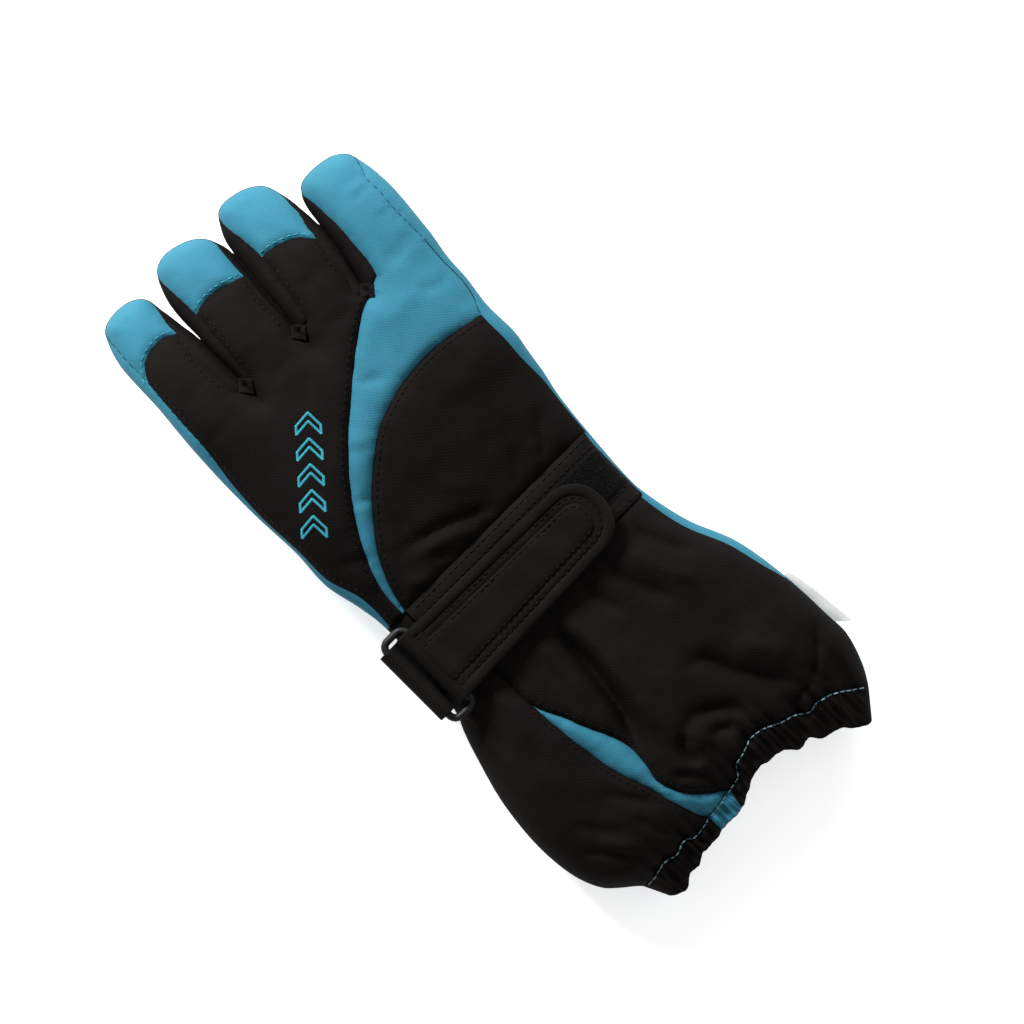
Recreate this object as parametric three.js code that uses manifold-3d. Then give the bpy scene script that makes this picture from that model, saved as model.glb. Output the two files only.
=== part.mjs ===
// Insulated ski glove for a right hand, lying palm down.
// Millimetres: +Y to the fingertips, +X to the little-finger side, +Z out of the back of the hand.
import * as THREE from 'three';
import { mergeVertices } from 'three/addons/utils/BufferGeometryUtils.js';
import Module from 'manifold-3d';

const wasm = await Module();
wasm.setup();

// Driving dimensions.
const WALL = 3.0;                 // outer fabric with its quilted insulation
const WRIST_WALL = 2.0;           // thin gathered cloth round the palm side of the wrist
const RIBBON_WALL = 2.2;          // boxed side walls of the fingers and the thumb
const LINING = 1.2;
const CLEARANCE = 1.0;            // between a wall and the lining behind it
const SEAM_GAP = 0.2;             // each panel stops this far from a seam line
const SEAM_DEPTH = 4.5;           // top and palm panels stop this far inside the silhouette
const LONG_STEP = 1.6;            // panels curve less along the hand than across it
const FULLNESS = 2.6;             // exponent of the rounded cross-section
const HAND_ROLL = 26;             // width of the rounded border of the hand and the cuff
const KNUCKLE_Y = 88;             // fingers bend about this line
const FINGER_WALL_START = 8;      // side walls and palm start this far past the knuckle line
const KNUCKLE_GAP = 1.5;
const HAND_START_Y = -35;
const CUFF_START_Y = -41;
const CUFF_END_Y = -151;
const STRAP = { from: -6.3, to: -35.7, thickness: 2.0, endX: 39, endWidth: 28 };
const BAND = { left: -39.4, right: 48, top: -0.8, bottom: -30 };
const LOOP_TAPE = { top: -7, bottom: -23, lift: 1.5, thickness: 0.9 };
const HOOK_TAPE = { left: 6, right: 33, lift: 2.8, thickness: 1.0 };
const STRAP_LIFT = 5.1;
const TAB = { wall: 1.2, topZ: 30, bottomZ: 20 };
const WRIST_ELASTIC = { halfWidth: 34, top: -12, bottom: -24, gap: 0.6, thickness: 0.8 };
const LABEL = { width: 4.2, length: 26, thickness: 1.4, y: -104, z: 17, gap: 0.8 };
const RING = { x: -49, y: -22, z: 37.8, width: 12.6, length: 38, bar: 2.6, corner: 3.5, innerCorner: 0.8 };
const THUMB = { left: -52, right: -15, back: 2, tip: 83, top: 17.4, bottom: 0.3, hole: 13 };
const THUMB_PIVOT = new THREE.Vector2(-33, 22);
const CENTRE = new THREE.Vector2(2.33, 2.275);   // centre of the whole glove before it is placed

const BLUE = 0x44aacd;
const BLACK = 0x1b1817;

// Curves and regions in the plane of the hand.
const point = (x, y) => new THREE.Vector2(x, y);

function smooth(pairs, count = 24) {
  return new THREE.SplineCurve(pairs.map(([x, y]) => point(x, y))).getSpacedPoints(count);
}

// A value along Y, read from a smooth curve through [y, value] pairs.
function profile(...pairs) {
  const curve = smooth(pairs, 60).sort((a, b) => a.x - b.x);
  return (y) => {
    const next = curve.findIndex((p) => p.x >= y);
    if (next < 0) return curve[curve.length - 1].y;
    if (next === 0) return curve[0].y;
    const [a, b] = [curve[next - 1], curve[next]];
    return a.y + (b.y - a.y) * (y - a.x) / (b.x - a.x);
  };
}

function range(from, to, count) {
  return Array.from({ length: count + 1 }, (_, i) => from + (to - from) * i / count);
}

// Moves each point of a line sideways, to the left of its direction of travel.
function offset(line, distance) {
  return line.map((p, i) => {
    const before = line[Math.max(i - 1, 0)];
    const after = line[Math.min(i + 1, line.length - 1)];
    const along = after.clone().sub(before).normalize();
    return point(p.x - along.y * distance, p.y + along.x * distance);
  });
}

// The half plane to the left or right of a line, bounded far away.
function besides(line, side) {
  const far = 400;
  const edge = offset(line, side * SEAM_GAP);
  const along = line[line.length - 1].clone().sub(line[0]).normalize();
  const out = point(-along.y, along.x).multiplyScalar(side * far);
  const first = edge[0].clone().addScaledVector(along, -far);
  const last = edge[edge.length - 1].clone().addScaledVector(along, far);
  return [first, ...edge, last, last.clone().add(out), first.clone().add(out)];
}
const leftOf = (line) => besides(line, 1);
const rightOf = (line) => besides(line, -1);

function box(x0, x1, y0, y1) {
  return [point(x0, y0), point(x1, y0), point(x1, y1), point(x0, y1)];
}

// Solids.
function geometryFrom(positions, faces) {
  const geometry = new THREE.BufferGeometry();
  geometry.setAttribute('position', new THREE.Float32BufferAttribute(positions, 3));
  geometry.setIndex(faces.flat());
  return geometry;
}

function signedVolume(points, faces) {
  return faces.reduce((sum, [a, b, c]) => {
    const cross = new THREE.Vector3().crossVectors(points[b], points[c]);
    return sum + points[a].dot(cross) / 6;
  }, 0);
}

function closedGeometry(points, faces) {
  const inward = signedVolume(points, faces) < 0;
  const outward = inward ? faces.map(([a, b, c]) => [a, c, b]) : faces;
  return geometryFrom(points.flatMap((p) => p.toArray()), outward);
}

// A wall between an outer and an inner grid of points with the same rows and columns.
function wall(outer, inner) {
  const rows = outer.length;
  const columns = outer[0].length;
  const points = [...outer.flat(), ...inner.flat()];
  const at = (layer, row, column) => (layer * rows + row) * columns + column;
  const faces = [];
  const quad = (a, b, c, d) => faces.push([a, b, c], [a, c, d]);
  for (let r = 0; r < rows - 1; r += 1) {
    for (let c = 0; c < columns - 1; c += 1) {
      quad(at(0, r, c), at(0, r, c + 1), at(0, r + 1, c + 1), at(0, r + 1, c));
      quad(at(1, r, c), at(1, r + 1, c), at(1, r + 1, c + 1), at(1, r, c + 1));
    }
    quad(at(0, r, 0), at(0, r + 1, 0), at(1, r + 1, 0), at(1, r, 0));
    const last = columns - 1;
    quad(at(0, r, last), at(1, r, last), at(1, r + 1, last), at(0, r + 1, last));
  }
  for (let c = 0; c < columns - 1; c += 1) {
    quad(at(0, 0, c), at(1, 0, c), at(1, 0, c + 1), at(0, 0, c + 1));
    quad(at(0, rows - 1, c), at(0, rows - 1, c + 1), at(1, rows - 1, c + 1), at(1, rows - 1, c));
  }
  return closedGeometry(points, faces);
}

// A bag from rings of points: open at the first ring, and closed at the last unless it is a sleeve.
function bag(outer, inner, isSleeve = false) {
  const count = outer[0].length;
  const points = [];
  const faces = [];
  const addRings = (rings) => rings.map((ring) => ring.map((p) => points.push(p) - 1));
  const band = (a, b) => a.forEach((_, i) => {
    const j = (i + 1) % count;
    faces.push([a[i], a[j], b[j]], [a[i], b[j], b[i]]);
  });
  const fan = (ring, flip) => {
    const middle = new THREE.Vector3();
    ring.forEach((i) => middle.addScaledVector(points[i], 1 / count));
    const pole = points.push(middle) - 1;
    ring.forEach((_, i) => {
      const j = (i + 1) % count;
      faces.push(flip ? [ring[j], ring[i], pole] : [ring[i], ring[j], pole]);
    });
  };
  const outerRings = addRings(outer);
  const innerRings = addRings(inner);
  outerRings.slice(1).forEach((ring, i) => band(outerRings[i], ring));
  innerRings.slice(1).forEach((ring, i) => band(ring, innerRings[i]));
  band(innerRings[0], outerRings[0]);
  if (isSleeve) {
    band(outerRings[outerRings.length - 1], innerRings[innerRings.length - 1]);
  } else {
    fan(outerRings[outerRings.length - 1], false);
    fan(innerRings[innerRings.length - 1], true);
  }
  return closedGeometry(points, faces);
}

function toSolid(geometry) {
  const bare = geometry.clone();
  bare.deleteAttribute('normal');
  bare.deleteAttribute('uv');
  const merged = mergeVertices(bare, 1e-5);
  return new wasm.Manifold(new wasm.Mesh({
    numProp: 3,
    vertProperties: new Float32Array(merged.attributes.position.array),
    triVerts: new Uint32Array(merged.index.array),
  }));
}

function toGeometry(solid) {
  const mesh = solid.getMesh();
  return geometryFrom(Array.from(mesh.vertProperties), [Array.from(mesh.triVerts)]);
}

// Everything above and below an outline, for cutting.
function prism(outline) {
  const options = { depth: 140, bevelEnabled: false };
  const geometry = new THREE.ExtrudeGeometry(new THREE.Shape(outline), options);
  return toSolid(geometry.translate(0, 0, -40));
}

// A round post that cuts the thumb opening through the palm.
function post(centre, radius) {
  const length = 50;
  const topZ = 26;
  const geometry = new THREE.CylinderGeometry(radius, radius, length, 20).rotateX(Math.PI / 2);
  return toSolid(geometry.translate(centre.x, centre.y, topZ - length / 2));
}

// The puffed surfaces.
// A form has top(y), bottom(y), roll and depth(x, y), the distance inside its silhouette.
function puff(depth, roll) {
  const share = THREE.MathUtils.clamp(depth / roll, 0, 1);
  return (1 - (1 - share) ** FULLNESS) ** (1 / FULLNESS);
}

function heightAt(form, side, y, depth, inset) {
  const middle = (form.top(y) + form.bottom(y)) / 2;
  const half = (form.top(y) - form.bottom(y)) / 2 - inset;
  return middle + side * half * puff(depth - inset, form.roll - inset);
}

// A panel of the upper (side 1) or lower (side -1) surface, cut to the regions that it fills.
function panel(form, side, regions, { lift = 0, thickness = WALL, step = 8 } = {}) {
  const bounds = new THREE.Box2().setFromPoints(regions[0]);
  regions.slice(1).forEach((region) => bounds.intersect(new THREE.Box2().setFromPoints(region)));
  bounds.expandByScalar(1);
  const across = Math.ceil((bounds.max.x - bounds.min.x) / step);
  const along = Math.ceil((bounds.max.y - bounds.min.y) / (step * LONG_STEP));
  const rows = range(bounds.min.y, bounds.max.y, along);
  const columns = range(bounds.min.x, bounds.max.x, across);
  const within = (x, y) => Math.max(form.depth(x, y), SEAM_DEPTH);
  const outerHeight = (x, y) => heightAt(form, side, y, within(x, y), -lift);
  const innerHeight = (x, y) => {
    const inner = heightAt(form, side, y, within(x, y), thickness - lift);
    return side * Math.min(side * inner, side * outerHeight(x, y) - thickness * 0.8);
  };
  const grid = (height) => rows.map((y) => columns.map((x) => new THREE.Vector3(x, y, height(x, y))));
  const slab = toSolid(wall(grid(outerHeight), grid(innerHeight)));
  return regions.reduce((solid, region) => solid.intersect(prism(region)), slab);
}

// A side wall that rolls round the silhouette, along a path of points with inward directions.
function sideWall(form, path, { thickness = WALL, seam = SEAM_DEPTH, lower = seam, steps = 2 } = {}) {
  const levels = range(-1, 1, steps * 2);
  const station = ({ at, inward }, inset) => levels.map((level) => {
    const reach = (level < 0 ? lower : seam) - inset;
    const depth = inset + reach * level ** 2;
    const x = at.x + inward.x * depth;
    const y = at.y + inward.y * depth;
    return new THREE.Vector3(x, y, heightAt(form, Math.sign(level), y, depth, inset));
  });
  return wall(path.map((p) => station(p, 0)), path.map((p) => station(p, thickness)));
}

function rounded(form, y, inset, count = 14) {
  const half = (form.right(y) - form.left(y)) / 2 - inset;
  const middleX = (form.right(y) + form.left(y)) / 2;
  const middleZ = (form.top(y) + form.bottom(y)) / 2;
  const closing = form.tip ? puff(form.tip - y - inset, form.roll - inset) : 1;
  const rise = ((form.top(y) - form.bottom(y)) / 2 - inset) * closing;
  const power = (value) => Math.sign(value) * Math.abs(value) ** (2 / FULLNESS);
  return range(0, 2 * Math.PI, count).slice(0, count).map((angle) => new THREE.Vector3(
    middleX + half * power(Math.cos(angle)), y, middleZ + rise * power(Math.sin(angle))));
}

function sleeve(form, from, to, inset, thickness, spans) {
  const stations = range(from, to, spans);
  return bag(
    stations.map((y) => rounded(form, y, inset)),
    stations.map((y) => rounded(form, y, inset + thickness)),
    true,
  );
}

// Forms.
function tubeForm(left, right, top, bottom) {
  const depth = (x, y) => Math.min(x - left(y), right(y) - x);
  return { left, right, top, bottom, roll: HAND_ROLL, depth };
}

const hand = tubeForm(
  profile([-36, -51.5], [-20, -50], [0, -48.7], [12, -50.2], [26, -53], [42, -52], [61, -53],
    [KNUCKLE_Y, -53]),
  profile([-36, 51.5], [-20, 51], [0, 52.4], [15, 53.9], [34, 57.4], [50, 58.8], [68, 60.2],
    [KNUCKLE_Y, 62.2]),
  profile([-36, 36], [-20, 36], [-4, 36.2], [20, 40], [45, 44], [70, 43], [KNUCKLE_Y, 41]),
  profile([-36, 8], [-20, 10], [-8, 14.5], [4, 18], [30, 18.2], [60, 18], [KNUCKLE_Y, 18]),
);

// The underside of the cuff lies on the table, and lifts a little at the wrist and at the hem.
const cuffLift = (y) => 7 * THREE.MathUtils.smoothstep(y, -62, CUFF_START_Y)
  + 1.5 * (1 - THREE.MathUtils.smoothstep(y, -142, -124));

const cuff = tubeForm(
  profile([CUFF_END_Y, -46], [-142, -47], [-132, -51], [-122, -60.6], [-111, -65], [-99, -67.2],
    [-83, -66.4], [-71, -64.4], [-54, -58.7], [-46, -56], [CUFF_START_Y, -53]),
  profile([CUFF_END_Y, 54], [-140, 58.7], [-131, 63.6], [-119, 67], [-109, 67], [-88, 66],
    [-67, 62.6], [-49, 55.3], [CUFF_START_Y, 53.2]),
  profile([CUFF_END_Y, 20], [-135, 24], [-118, 32], [-95, 35], [-60, 35], [CUFF_START_Y, 35]),
  cuffLift,
);

function distanceToLine(line, x, y) {
  const here = new THREE.Vector3(x, y, 0);
  const nearest = new THREE.Vector3();
  const flat = (p) => new THREE.Vector3(p.x, p.y, 0);
  return line.slice(1).reduce((best, end, i) => {
    const segment = new THREE.Line3(flat(line[i]), flat(end));
    segment.closestPointToPoint(here, true, nearest);
    return Math.min(best, nearest.distanceTo(here));
  }, Infinity);
}

const fingerTop = profile([86, 42], [KNUCKLE_Y, 42], [110, 38.5], [130, 32], [152, 24]);
const fingerBottom = profile([86, 18], [KNUCKLE_Y, 18], [110, 13], [130, 7], [152, 2]);

// The silhouette runs up the left side, round the tip and down the right side.
// Each side is given where the finger starts and where its tip begins to round off.
function fingerForm([leftRoot, leftTip], [rightRoot, rightTip], tip) {
  const half = (rightTip - leftTip) / 2;
  const middle = (rightTip + leftTip) / 2;
  const tipLength = half * 0.95;
  const start = KNUCKLE_Y + KNUCKLE_GAP;
  const edge = (root, end) => (y) => THREE.MathUtils.lerp(
    root, end, THREE.MathUtils.clamp((y - start) / (tip - tipLength - start), 0, 1));
  const left = edge(leftRoot, leftTip);
  const right = edge(rightRoot, rightTip);
  const sides = range(start, tip - tipLength, 4).slice(0, 4);
  const arc = range(Math.PI, 0, 8).map((angle) => point(
    middle + half * Math.cos(angle), tip - tipLength + tipLength * Math.sin(angle)));
  const outline = [
    ...sides.map((y) => point(left(y), y)),
    ...arc,
    ...sides.slice().reverse().map((y) => point(right(y), y)),
  ];
  const narrowing = (y) => {
    const into = THREE.MathUtils.clamp((y - tip + tipLength) / tipLength, 0, 0.985);
    return half * (1 - Math.sqrt(1 - into * into));
  };
  return {
    outline,
    tip,
    roll: half,
    top: fingerTop,
    bottom: fingerBottom,
    left: (y) => left(y) + narrowing(y),
    right: (y) => right(y) - narrowing(y),
    depth: (x, y) => distanceToLine(outline, x, y),
  };
}

const fingers = {
  index: fingerForm([-52.6, -50.4], [-23.1, -24.4], 150.2),
  middle: fingerForm([-22.1, -22.6], [3.6, 6.9], 152.4),
  ring: fingerForm([4.6, 7.9], [31.7, 36.1], 150.4),
  pinky: fingerForm([32.7, 37.3], [62.8, 64.4], 135.8),
};

// Seam lines.
const knuckleSeam = smooth([[-41, -12], [-40, 0], [-36.3, 20.6], [-25.6, 39], [-8.8, 58], [12, 75],
  [34, 92]], 14);
const outerSeam = smooth([[-40, -12], [-38, 2], [-29, 24.3], [-15.8, 39.3], [0.1, 51.5],
  [15.7, 56.8], [37.4, 57.7], [58, 54.5], [70, 52]], 16);
const palmSeam = smooth([[-70, 48], [-40, 62], [-6, 70], [20, 68], [50, 60], [80, 50]], 12);
const wedgeOuterSeam = smooth([[-31.4, -30], [-31.4, -57.4], [-19, -84], [-18, -106], [0.8, -134],
  [14, -160]], 14);
const wedgeInnerSeam = smooth([[-31.9, -30], [-31.9, -57.4], [-26.5, -88], [-18, -122],
  [-12.4, -160]], 12);
const hemSeam = smooth([[-80, -131], [-52, -130], [-24, -131], [5, -121], [20, -118], [36, -127],
  [60, -138], [80, -138]], 16);
const hemEdge = smooth([[-80, -142], [-47, -142], [-38, -143.5], [-12.4, -136], [10, -130.5],
  [24, -135], [50, -147.5], [80, -148]], 16);
const capSeams = {
  index: smooth([[-60, 115], [-47, 123], [-37, 129], [-28, 127.6], [-20, 123]], 8),
  middle: smooth([[-30, 122], [-17, 127], [-6, 128.4], [4, 125.2], [12, 121]], 8),
  ring: smooth([[0, 125], [14, 125.2], [24.7, 122], [32, 115.8], [42, 104]], 8),
};

const MOTIF = {
  centre: point(-27.5, 58), slant: point(33, 36), half: 4.5,
  back: -22, front: 20, tip: 24, lift: 1.0, thickness: 0.7,
};

// The glove.
const glove = new THREE.Group();
glove.position.set(-CENTRE.x, -CENTRE.y, 0);

const materials = {
  blackFabric: new THREE.MeshStandardMaterial({ color: BLACK, roughness: 0.85 }),
  blueFabric: new THREE.MeshStandardMaterial({ color: BLUE, roughness: 0.7 }),
  grip: new THREE.MeshStandardMaterial({ color: 0x161516, roughness: 0.6 }),
  lining: new THREE.MeshStandardMaterial({ color: 0x2a2c30, roughness: 0.95 }),
  webbing: new THREE.MeshStandardMaterial({ color: 0x1d1b1a, roughness: 0.8 }),
  tape: new THREE.MeshStandardMaterial({ color: 0x100f10, roughness: 0.95 }),
  plastic: new THREE.MeshStandardMaterial({ color: 0x0c0c0d, roughness: 0.35 }),
  elastic: new THREE.MeshStandardMaterial({ color: 0x3a3c3f, roughness: 0.9 }),
  reflective: new THREE.MeshStandardMaterial({ color: 0xbdc0bd, roughness: 0.35, metalness: 0.4 }),
  thread: new THREE.MeshStandardMaterial({ color: 0x2fb7c4, roughness: 0.6 }),
};

function add(name, shape, material) {
  const geometry = shape.isBufferGeometry ? shape : toGeometry(shape);
  const mesh = new THREE.Mesh(geometry, material);
  mesh.name = name;
  glove.add(mesh);
}

const straightPath = (edge, direction, from, to, spans) => range(from, to, spans).map((y) => (
  { at: point(edge(y), y), inward: point(direction, 0) }));

function insideSides(form, from, to, depth = SEAM_DEPTH + 0.8) {
  const stations = range(from, to, 20);
  return [
    ...stations.map((y) => point(form.right(y) - depth, y)),
    ...stations.slice().reverse().map((y) => point(form.left(y) + depth, y)),
  ];
}

function addHand() {
  const top = insideSides(hand, 0, KNUCKLE_Y - KNUCKLE_GAP);
  const palm = insideSides(hand, 0, KNUCKLE_Y - 4);
  add('back_panel', panel(hand, 1, [top, leftOf(knuckleSeam)]), materials.blackFabric);
  add('swoosh_panel', panel(hand, 1, [top, rightOf(knuckleSeam), leftOf(outerSeam), box(-60, 80, 4, 100)]),
    materials.blueFabric);
  add('outer_back_panel', panel(hand, 1, [top, rightOf(outerSeam)]), materials.blackFabric);
  add('palm_upper', panel(hand, -1, [palm, leftOf(palmSeam)]), materials.grip);
  const heel = panel(hand, -1, [palm, rightOf(palmSeam)]).subtract(post(THUMB_PIVOT, THUMB.hole + 1));
  add('palm_heel', heel, materials.grip);
  const end = KNUCKLE_Y - KNUCKLE_GAP;
  add('index_side_panel', sideWall(hand, straightPath(hand.left, 1, 0, end, 7)), materials.blueFabric);
  add('pinky_side_panel', sideWall(hand, straightPath(hand.right, -1, 0, end, 7)), materials.blueFabric);
  const lining = toSolid(sleeve(hand, HAND_START_Y, KNUCKLE_Y - 4, WALL + CLEARANCE, LINING, 8));
  add('hand_lining', lining.subtract(post(THUMB_PIVOT, THUMB.hole + 1)), materials.lining);
}

function addMotif() {
  const { centre, slant, half, back, front, tip, lift, thickness } = MOTIF;
  const along = slant.clone().normalize();
  const across = point(-along.y, along.x);
  const corner = (forward, side) => (
    centre.clone().addScaledVector(along, forward).addScaledVector(across, side));
  const outline = [
    corner(back, -half), corner(front, -half), corner(tip, 0), corner(front, half), corner(back, half),
  ];
  add('embroidered_motif', panel(hand, 1, [outline], { lift, thickness }), materials.thread);
}

function addFinger(name, form) {
  const isOuter = name === 'index' || name === 'pinky';
  const start = KNUCKLE_Y + FINGER_WALL_START;
  const inner = offset(form.outline, -(SEAM_DEPTH + SEAM_GAP * 2));
  const capSeam = capSeams[name];
  const backParts = capSeam ? [inner, rightOf(capSeam)] : [inner];
  const backMaterial = capSeam ? materials.blackFabric : materials.blueFabric;
  const cloth = { step: 8, thickness: RIBBON_WALL };
  add(`${name}_back`, panel(form, 1, backParts, cloth), backMaterial);
  if (capSeam) {
    add(`${name}_cap`, panel(form, 1, [inner, leftOf(capSeam)], cloth), materials.blueFabric);
  }
  add(`${name}_palm`, panel(form, -1, [inner, box(-90, 90, start, 200)], cloth), materials.grip);

  const normals = offset(form.outline, -1).map((p, i) => p.sub(form.outline[i]));
  const path = form.outline.map((at, i) => ({ at, inward: normals[i] }));
  const last = path.length - 1;
  path[0].at = point(form.left(start), start);
  path[last].at = point(form.right(start), start);
  const wallOptions = { thickness: RIBBON_WALL };
  const splitIndex = name === 'index' ? 6 : last - 6;
  if (!isOuter) {
    add(`${name}_gusset`, sideWall(form, path, wallOptions), materials.blackFabric);
  } else {
    const [first, second] = [path.slice(0, splitIndex + 1), path.slice(splitIndex)];
    const join = second[0];
    const step = path[splitIndex + 1].at.clone().sub(join.at).normalize().multiplyScalar(SEAM_GAP * 2);
    second[0] = { at: join.at.clone().add(step), inward: join.inward };
    const [strip, gusset] = name === 'index' ? [first, second] : [second, first];
    add(`${name}_side_strip`, sideWall(form, strip, wallOptions), materials.blueFabric);
    add(`${name}_gusset`, sideWall(form, gusset, wallOptions), materials.blackFabric);
  }

  const inset = RIBBON_WALL + CLEARANCE * 1.7;
  const end = form.tip - form.roll * 0.55;
  const stations = [...range(start, form.tip - form.roll, 3), form.tip - form.roll * 0.75, end];
  add(`${name}_lining`, bag(
    stations.map((y) => rounded(form, y, inset, 12)),
    stations.map((y) => rounded(form, Math.min(y, end - LINING), inset + LINING, 12)),
  ), materials.lining);
}

function thumbForm() {
  const half = (THUMB.right - THUMB.left) / 2;
  const middle = (THUMB.right + THUMB.left) / 2;
  const halfCircle = (y, from, to) => range(from, to, 8).map((angle) => point(
    middle + half * Math.cos(angle), y + half * Math.sin(angle)));
  const outline = [
    ...halfCircle(THUMB.back + half, Math.PI * 2, Math.PI),
    ...halfCircle(THUMB.tip - half, Math.PI, 0),
  ];
  return {
    outline,
    roll: half,
    top: () => THUMB.top,
    bottom: () => THUMB.bottom,
    depth: (x, y) => distanceToLine([...outline, outline[0]], x, y),
  };
}

function addThumb() {
  const form = thumbForm();
  const closed = [form.outline[form.outline.length - 1], ...form.outline, form.outline[0]];
  const inwards = offset(closed, -1).slice(1, -1).map((p, i) => p.sub(form.outline[i]));
  const ring = (depth, side, inset) => form.outline.map((at, i) => {
    const p = at.clone().addScaledVector(inwards[i], depth);
    return new THREE.Vector3(p.x, p.y, heightAt(form, side, p.y, depth, inset));
  });
  const levels = [[SEAM_DEPTH, 1], [1.2, 1], [0, 1], [1.2, -1], [5, -1], [form.roll * 0.8, -1]];
  const back = bag(
    levels.map(([depth, side]) => ring(depth, side, 0)),
    levels.map(([depth, side]) => {
      const reach = (SEAM_DEPTH - RIBBON_WALL) / SEAM_DEPTH;
      const within = depth > SEAM_DEPTH ? depth : RIBBON_WALL + depth * reach;
      return ring(within, side, RIBBON_WALL);
    }),
  );
  add('thumb_back', back, materials.blueFabric);

  const inner = ring(SEAM_DEPTH + SEAM_GAP * 2, 1, 0).map((p) => point(p.x, p.y));
  const grip = panel(form, 1, [inner], { thickness: RIBBON_WALL, step: 9 });
  add('thumb_palm', grip.subtract(post(THUMB_PIVOT, THUMB.hole)), materials.grip);

  const inset = RIBBON_WALL + CLEARANCE * 1.5;
  const mouth = (radius, height) => form.outline.map((at) => {
    const direction = at.clone().sub(THUMB_PIVOT).normalize().multiplyScalar(radius);
    return new THREE.Vector3(THUMB_PIVOT.x + direction.x, THUMB_PIVOT.y + direction.y, height);
  });
  const liningLevels = [[7, 1], [3, 1], [0, 1], [3, -1], [form.roll * 0.7, -1]];
  const shell = (within) => liningLevels.map(([depth, side]) => ring(within + depth, side, within));
  const mouthZ = THUMB.top - inset - 0.4;
  add('thumb_lining', bag(
    [mouth(THUMB.hole - 1, mouthZ), ...shell(inset)],
    [mouth(THUMB.hole - 1, mouthZ - LINING), ...shell(inset + LINING)],
  ), materials.lining);
}

function addWrist() {
  const wristRows = range(HAND_START_Y, -SEAM_GAP * 2, 4);
  const arm = (y, inset, edge, direction, reach) => {
    const levels = [[reach, 1], [reach / 4, 1], [0, 1], [2, -1], [8, -1], [22, -1]];
    return levels.map(([depth, side]) => {
      const within = side > 0 ? inset + depth * (reach - inset) / reach : inset + depth;
      return new THREE.Vector3(edge + direction * within, y, heightAt(hand, side, y, within, inset));
    });
  };
  const section = (y, inset) => [
    ...arm(y, inset, hand.left(y), 1, BAND.left - hand.left(y) - SEAM_GAP * 2),
    ...arm(y, inset, hand.right(y), -1, hand.right(y) - BAND.right - SEAM_GAP * 2).reverse(),
  ];
  const faceOf = (inset) => wristRows.map((y) => section(y, inset));
  add('wrist_gather', wall(faceOf(0), faceOf(WRIST_WALL)), materials.blueFabric);
  const { halfWidth, top, bottom, gap, thickness } = WRIST_ELASTIC;
  const elastic = box(-halfWidth, halfWidth, bottom, top);
  add('wrist_elastic', panel(hand, -1, [elastic], { lift: -WRIST_WALL - gap, thickness }),
    materials.elastic);
  const band = box(BAND.left, BAND.right, BAND.bottom, BAND.top);
  add('landing_band', panel(hand, 1, [band]), materials.webbing);
  const tape = box(BAND.left + 2, BAND.right - 1.5, LOOP_TAPE.bottom, LOOP_TAPE.top);
  add('loop_tape', panel(hand, 1, [tape], { ...LOOP_TAPE }), materials.tape);
}

// Wraps a strip of the given thickness round a bar, from one angle to another.
function wrapPoints(centre, radius, from, to, count) {
  return range(from, to, count).map((angle) => [
    centre[0] + radius * Math.cos(angle), centre[1] + radius * Math.sin(angle)]);
}

function strip(outer, inner, from, to) {
  const row = (line, y) => line.map(([x, z]) => new THREE.Vector3(x, y, z));
  const rows = range(from, to, 2);
  return toSolid(wall(rows.map((y) => row(outer, y)), rows.map((y) => row(inner, y))));
}

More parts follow.
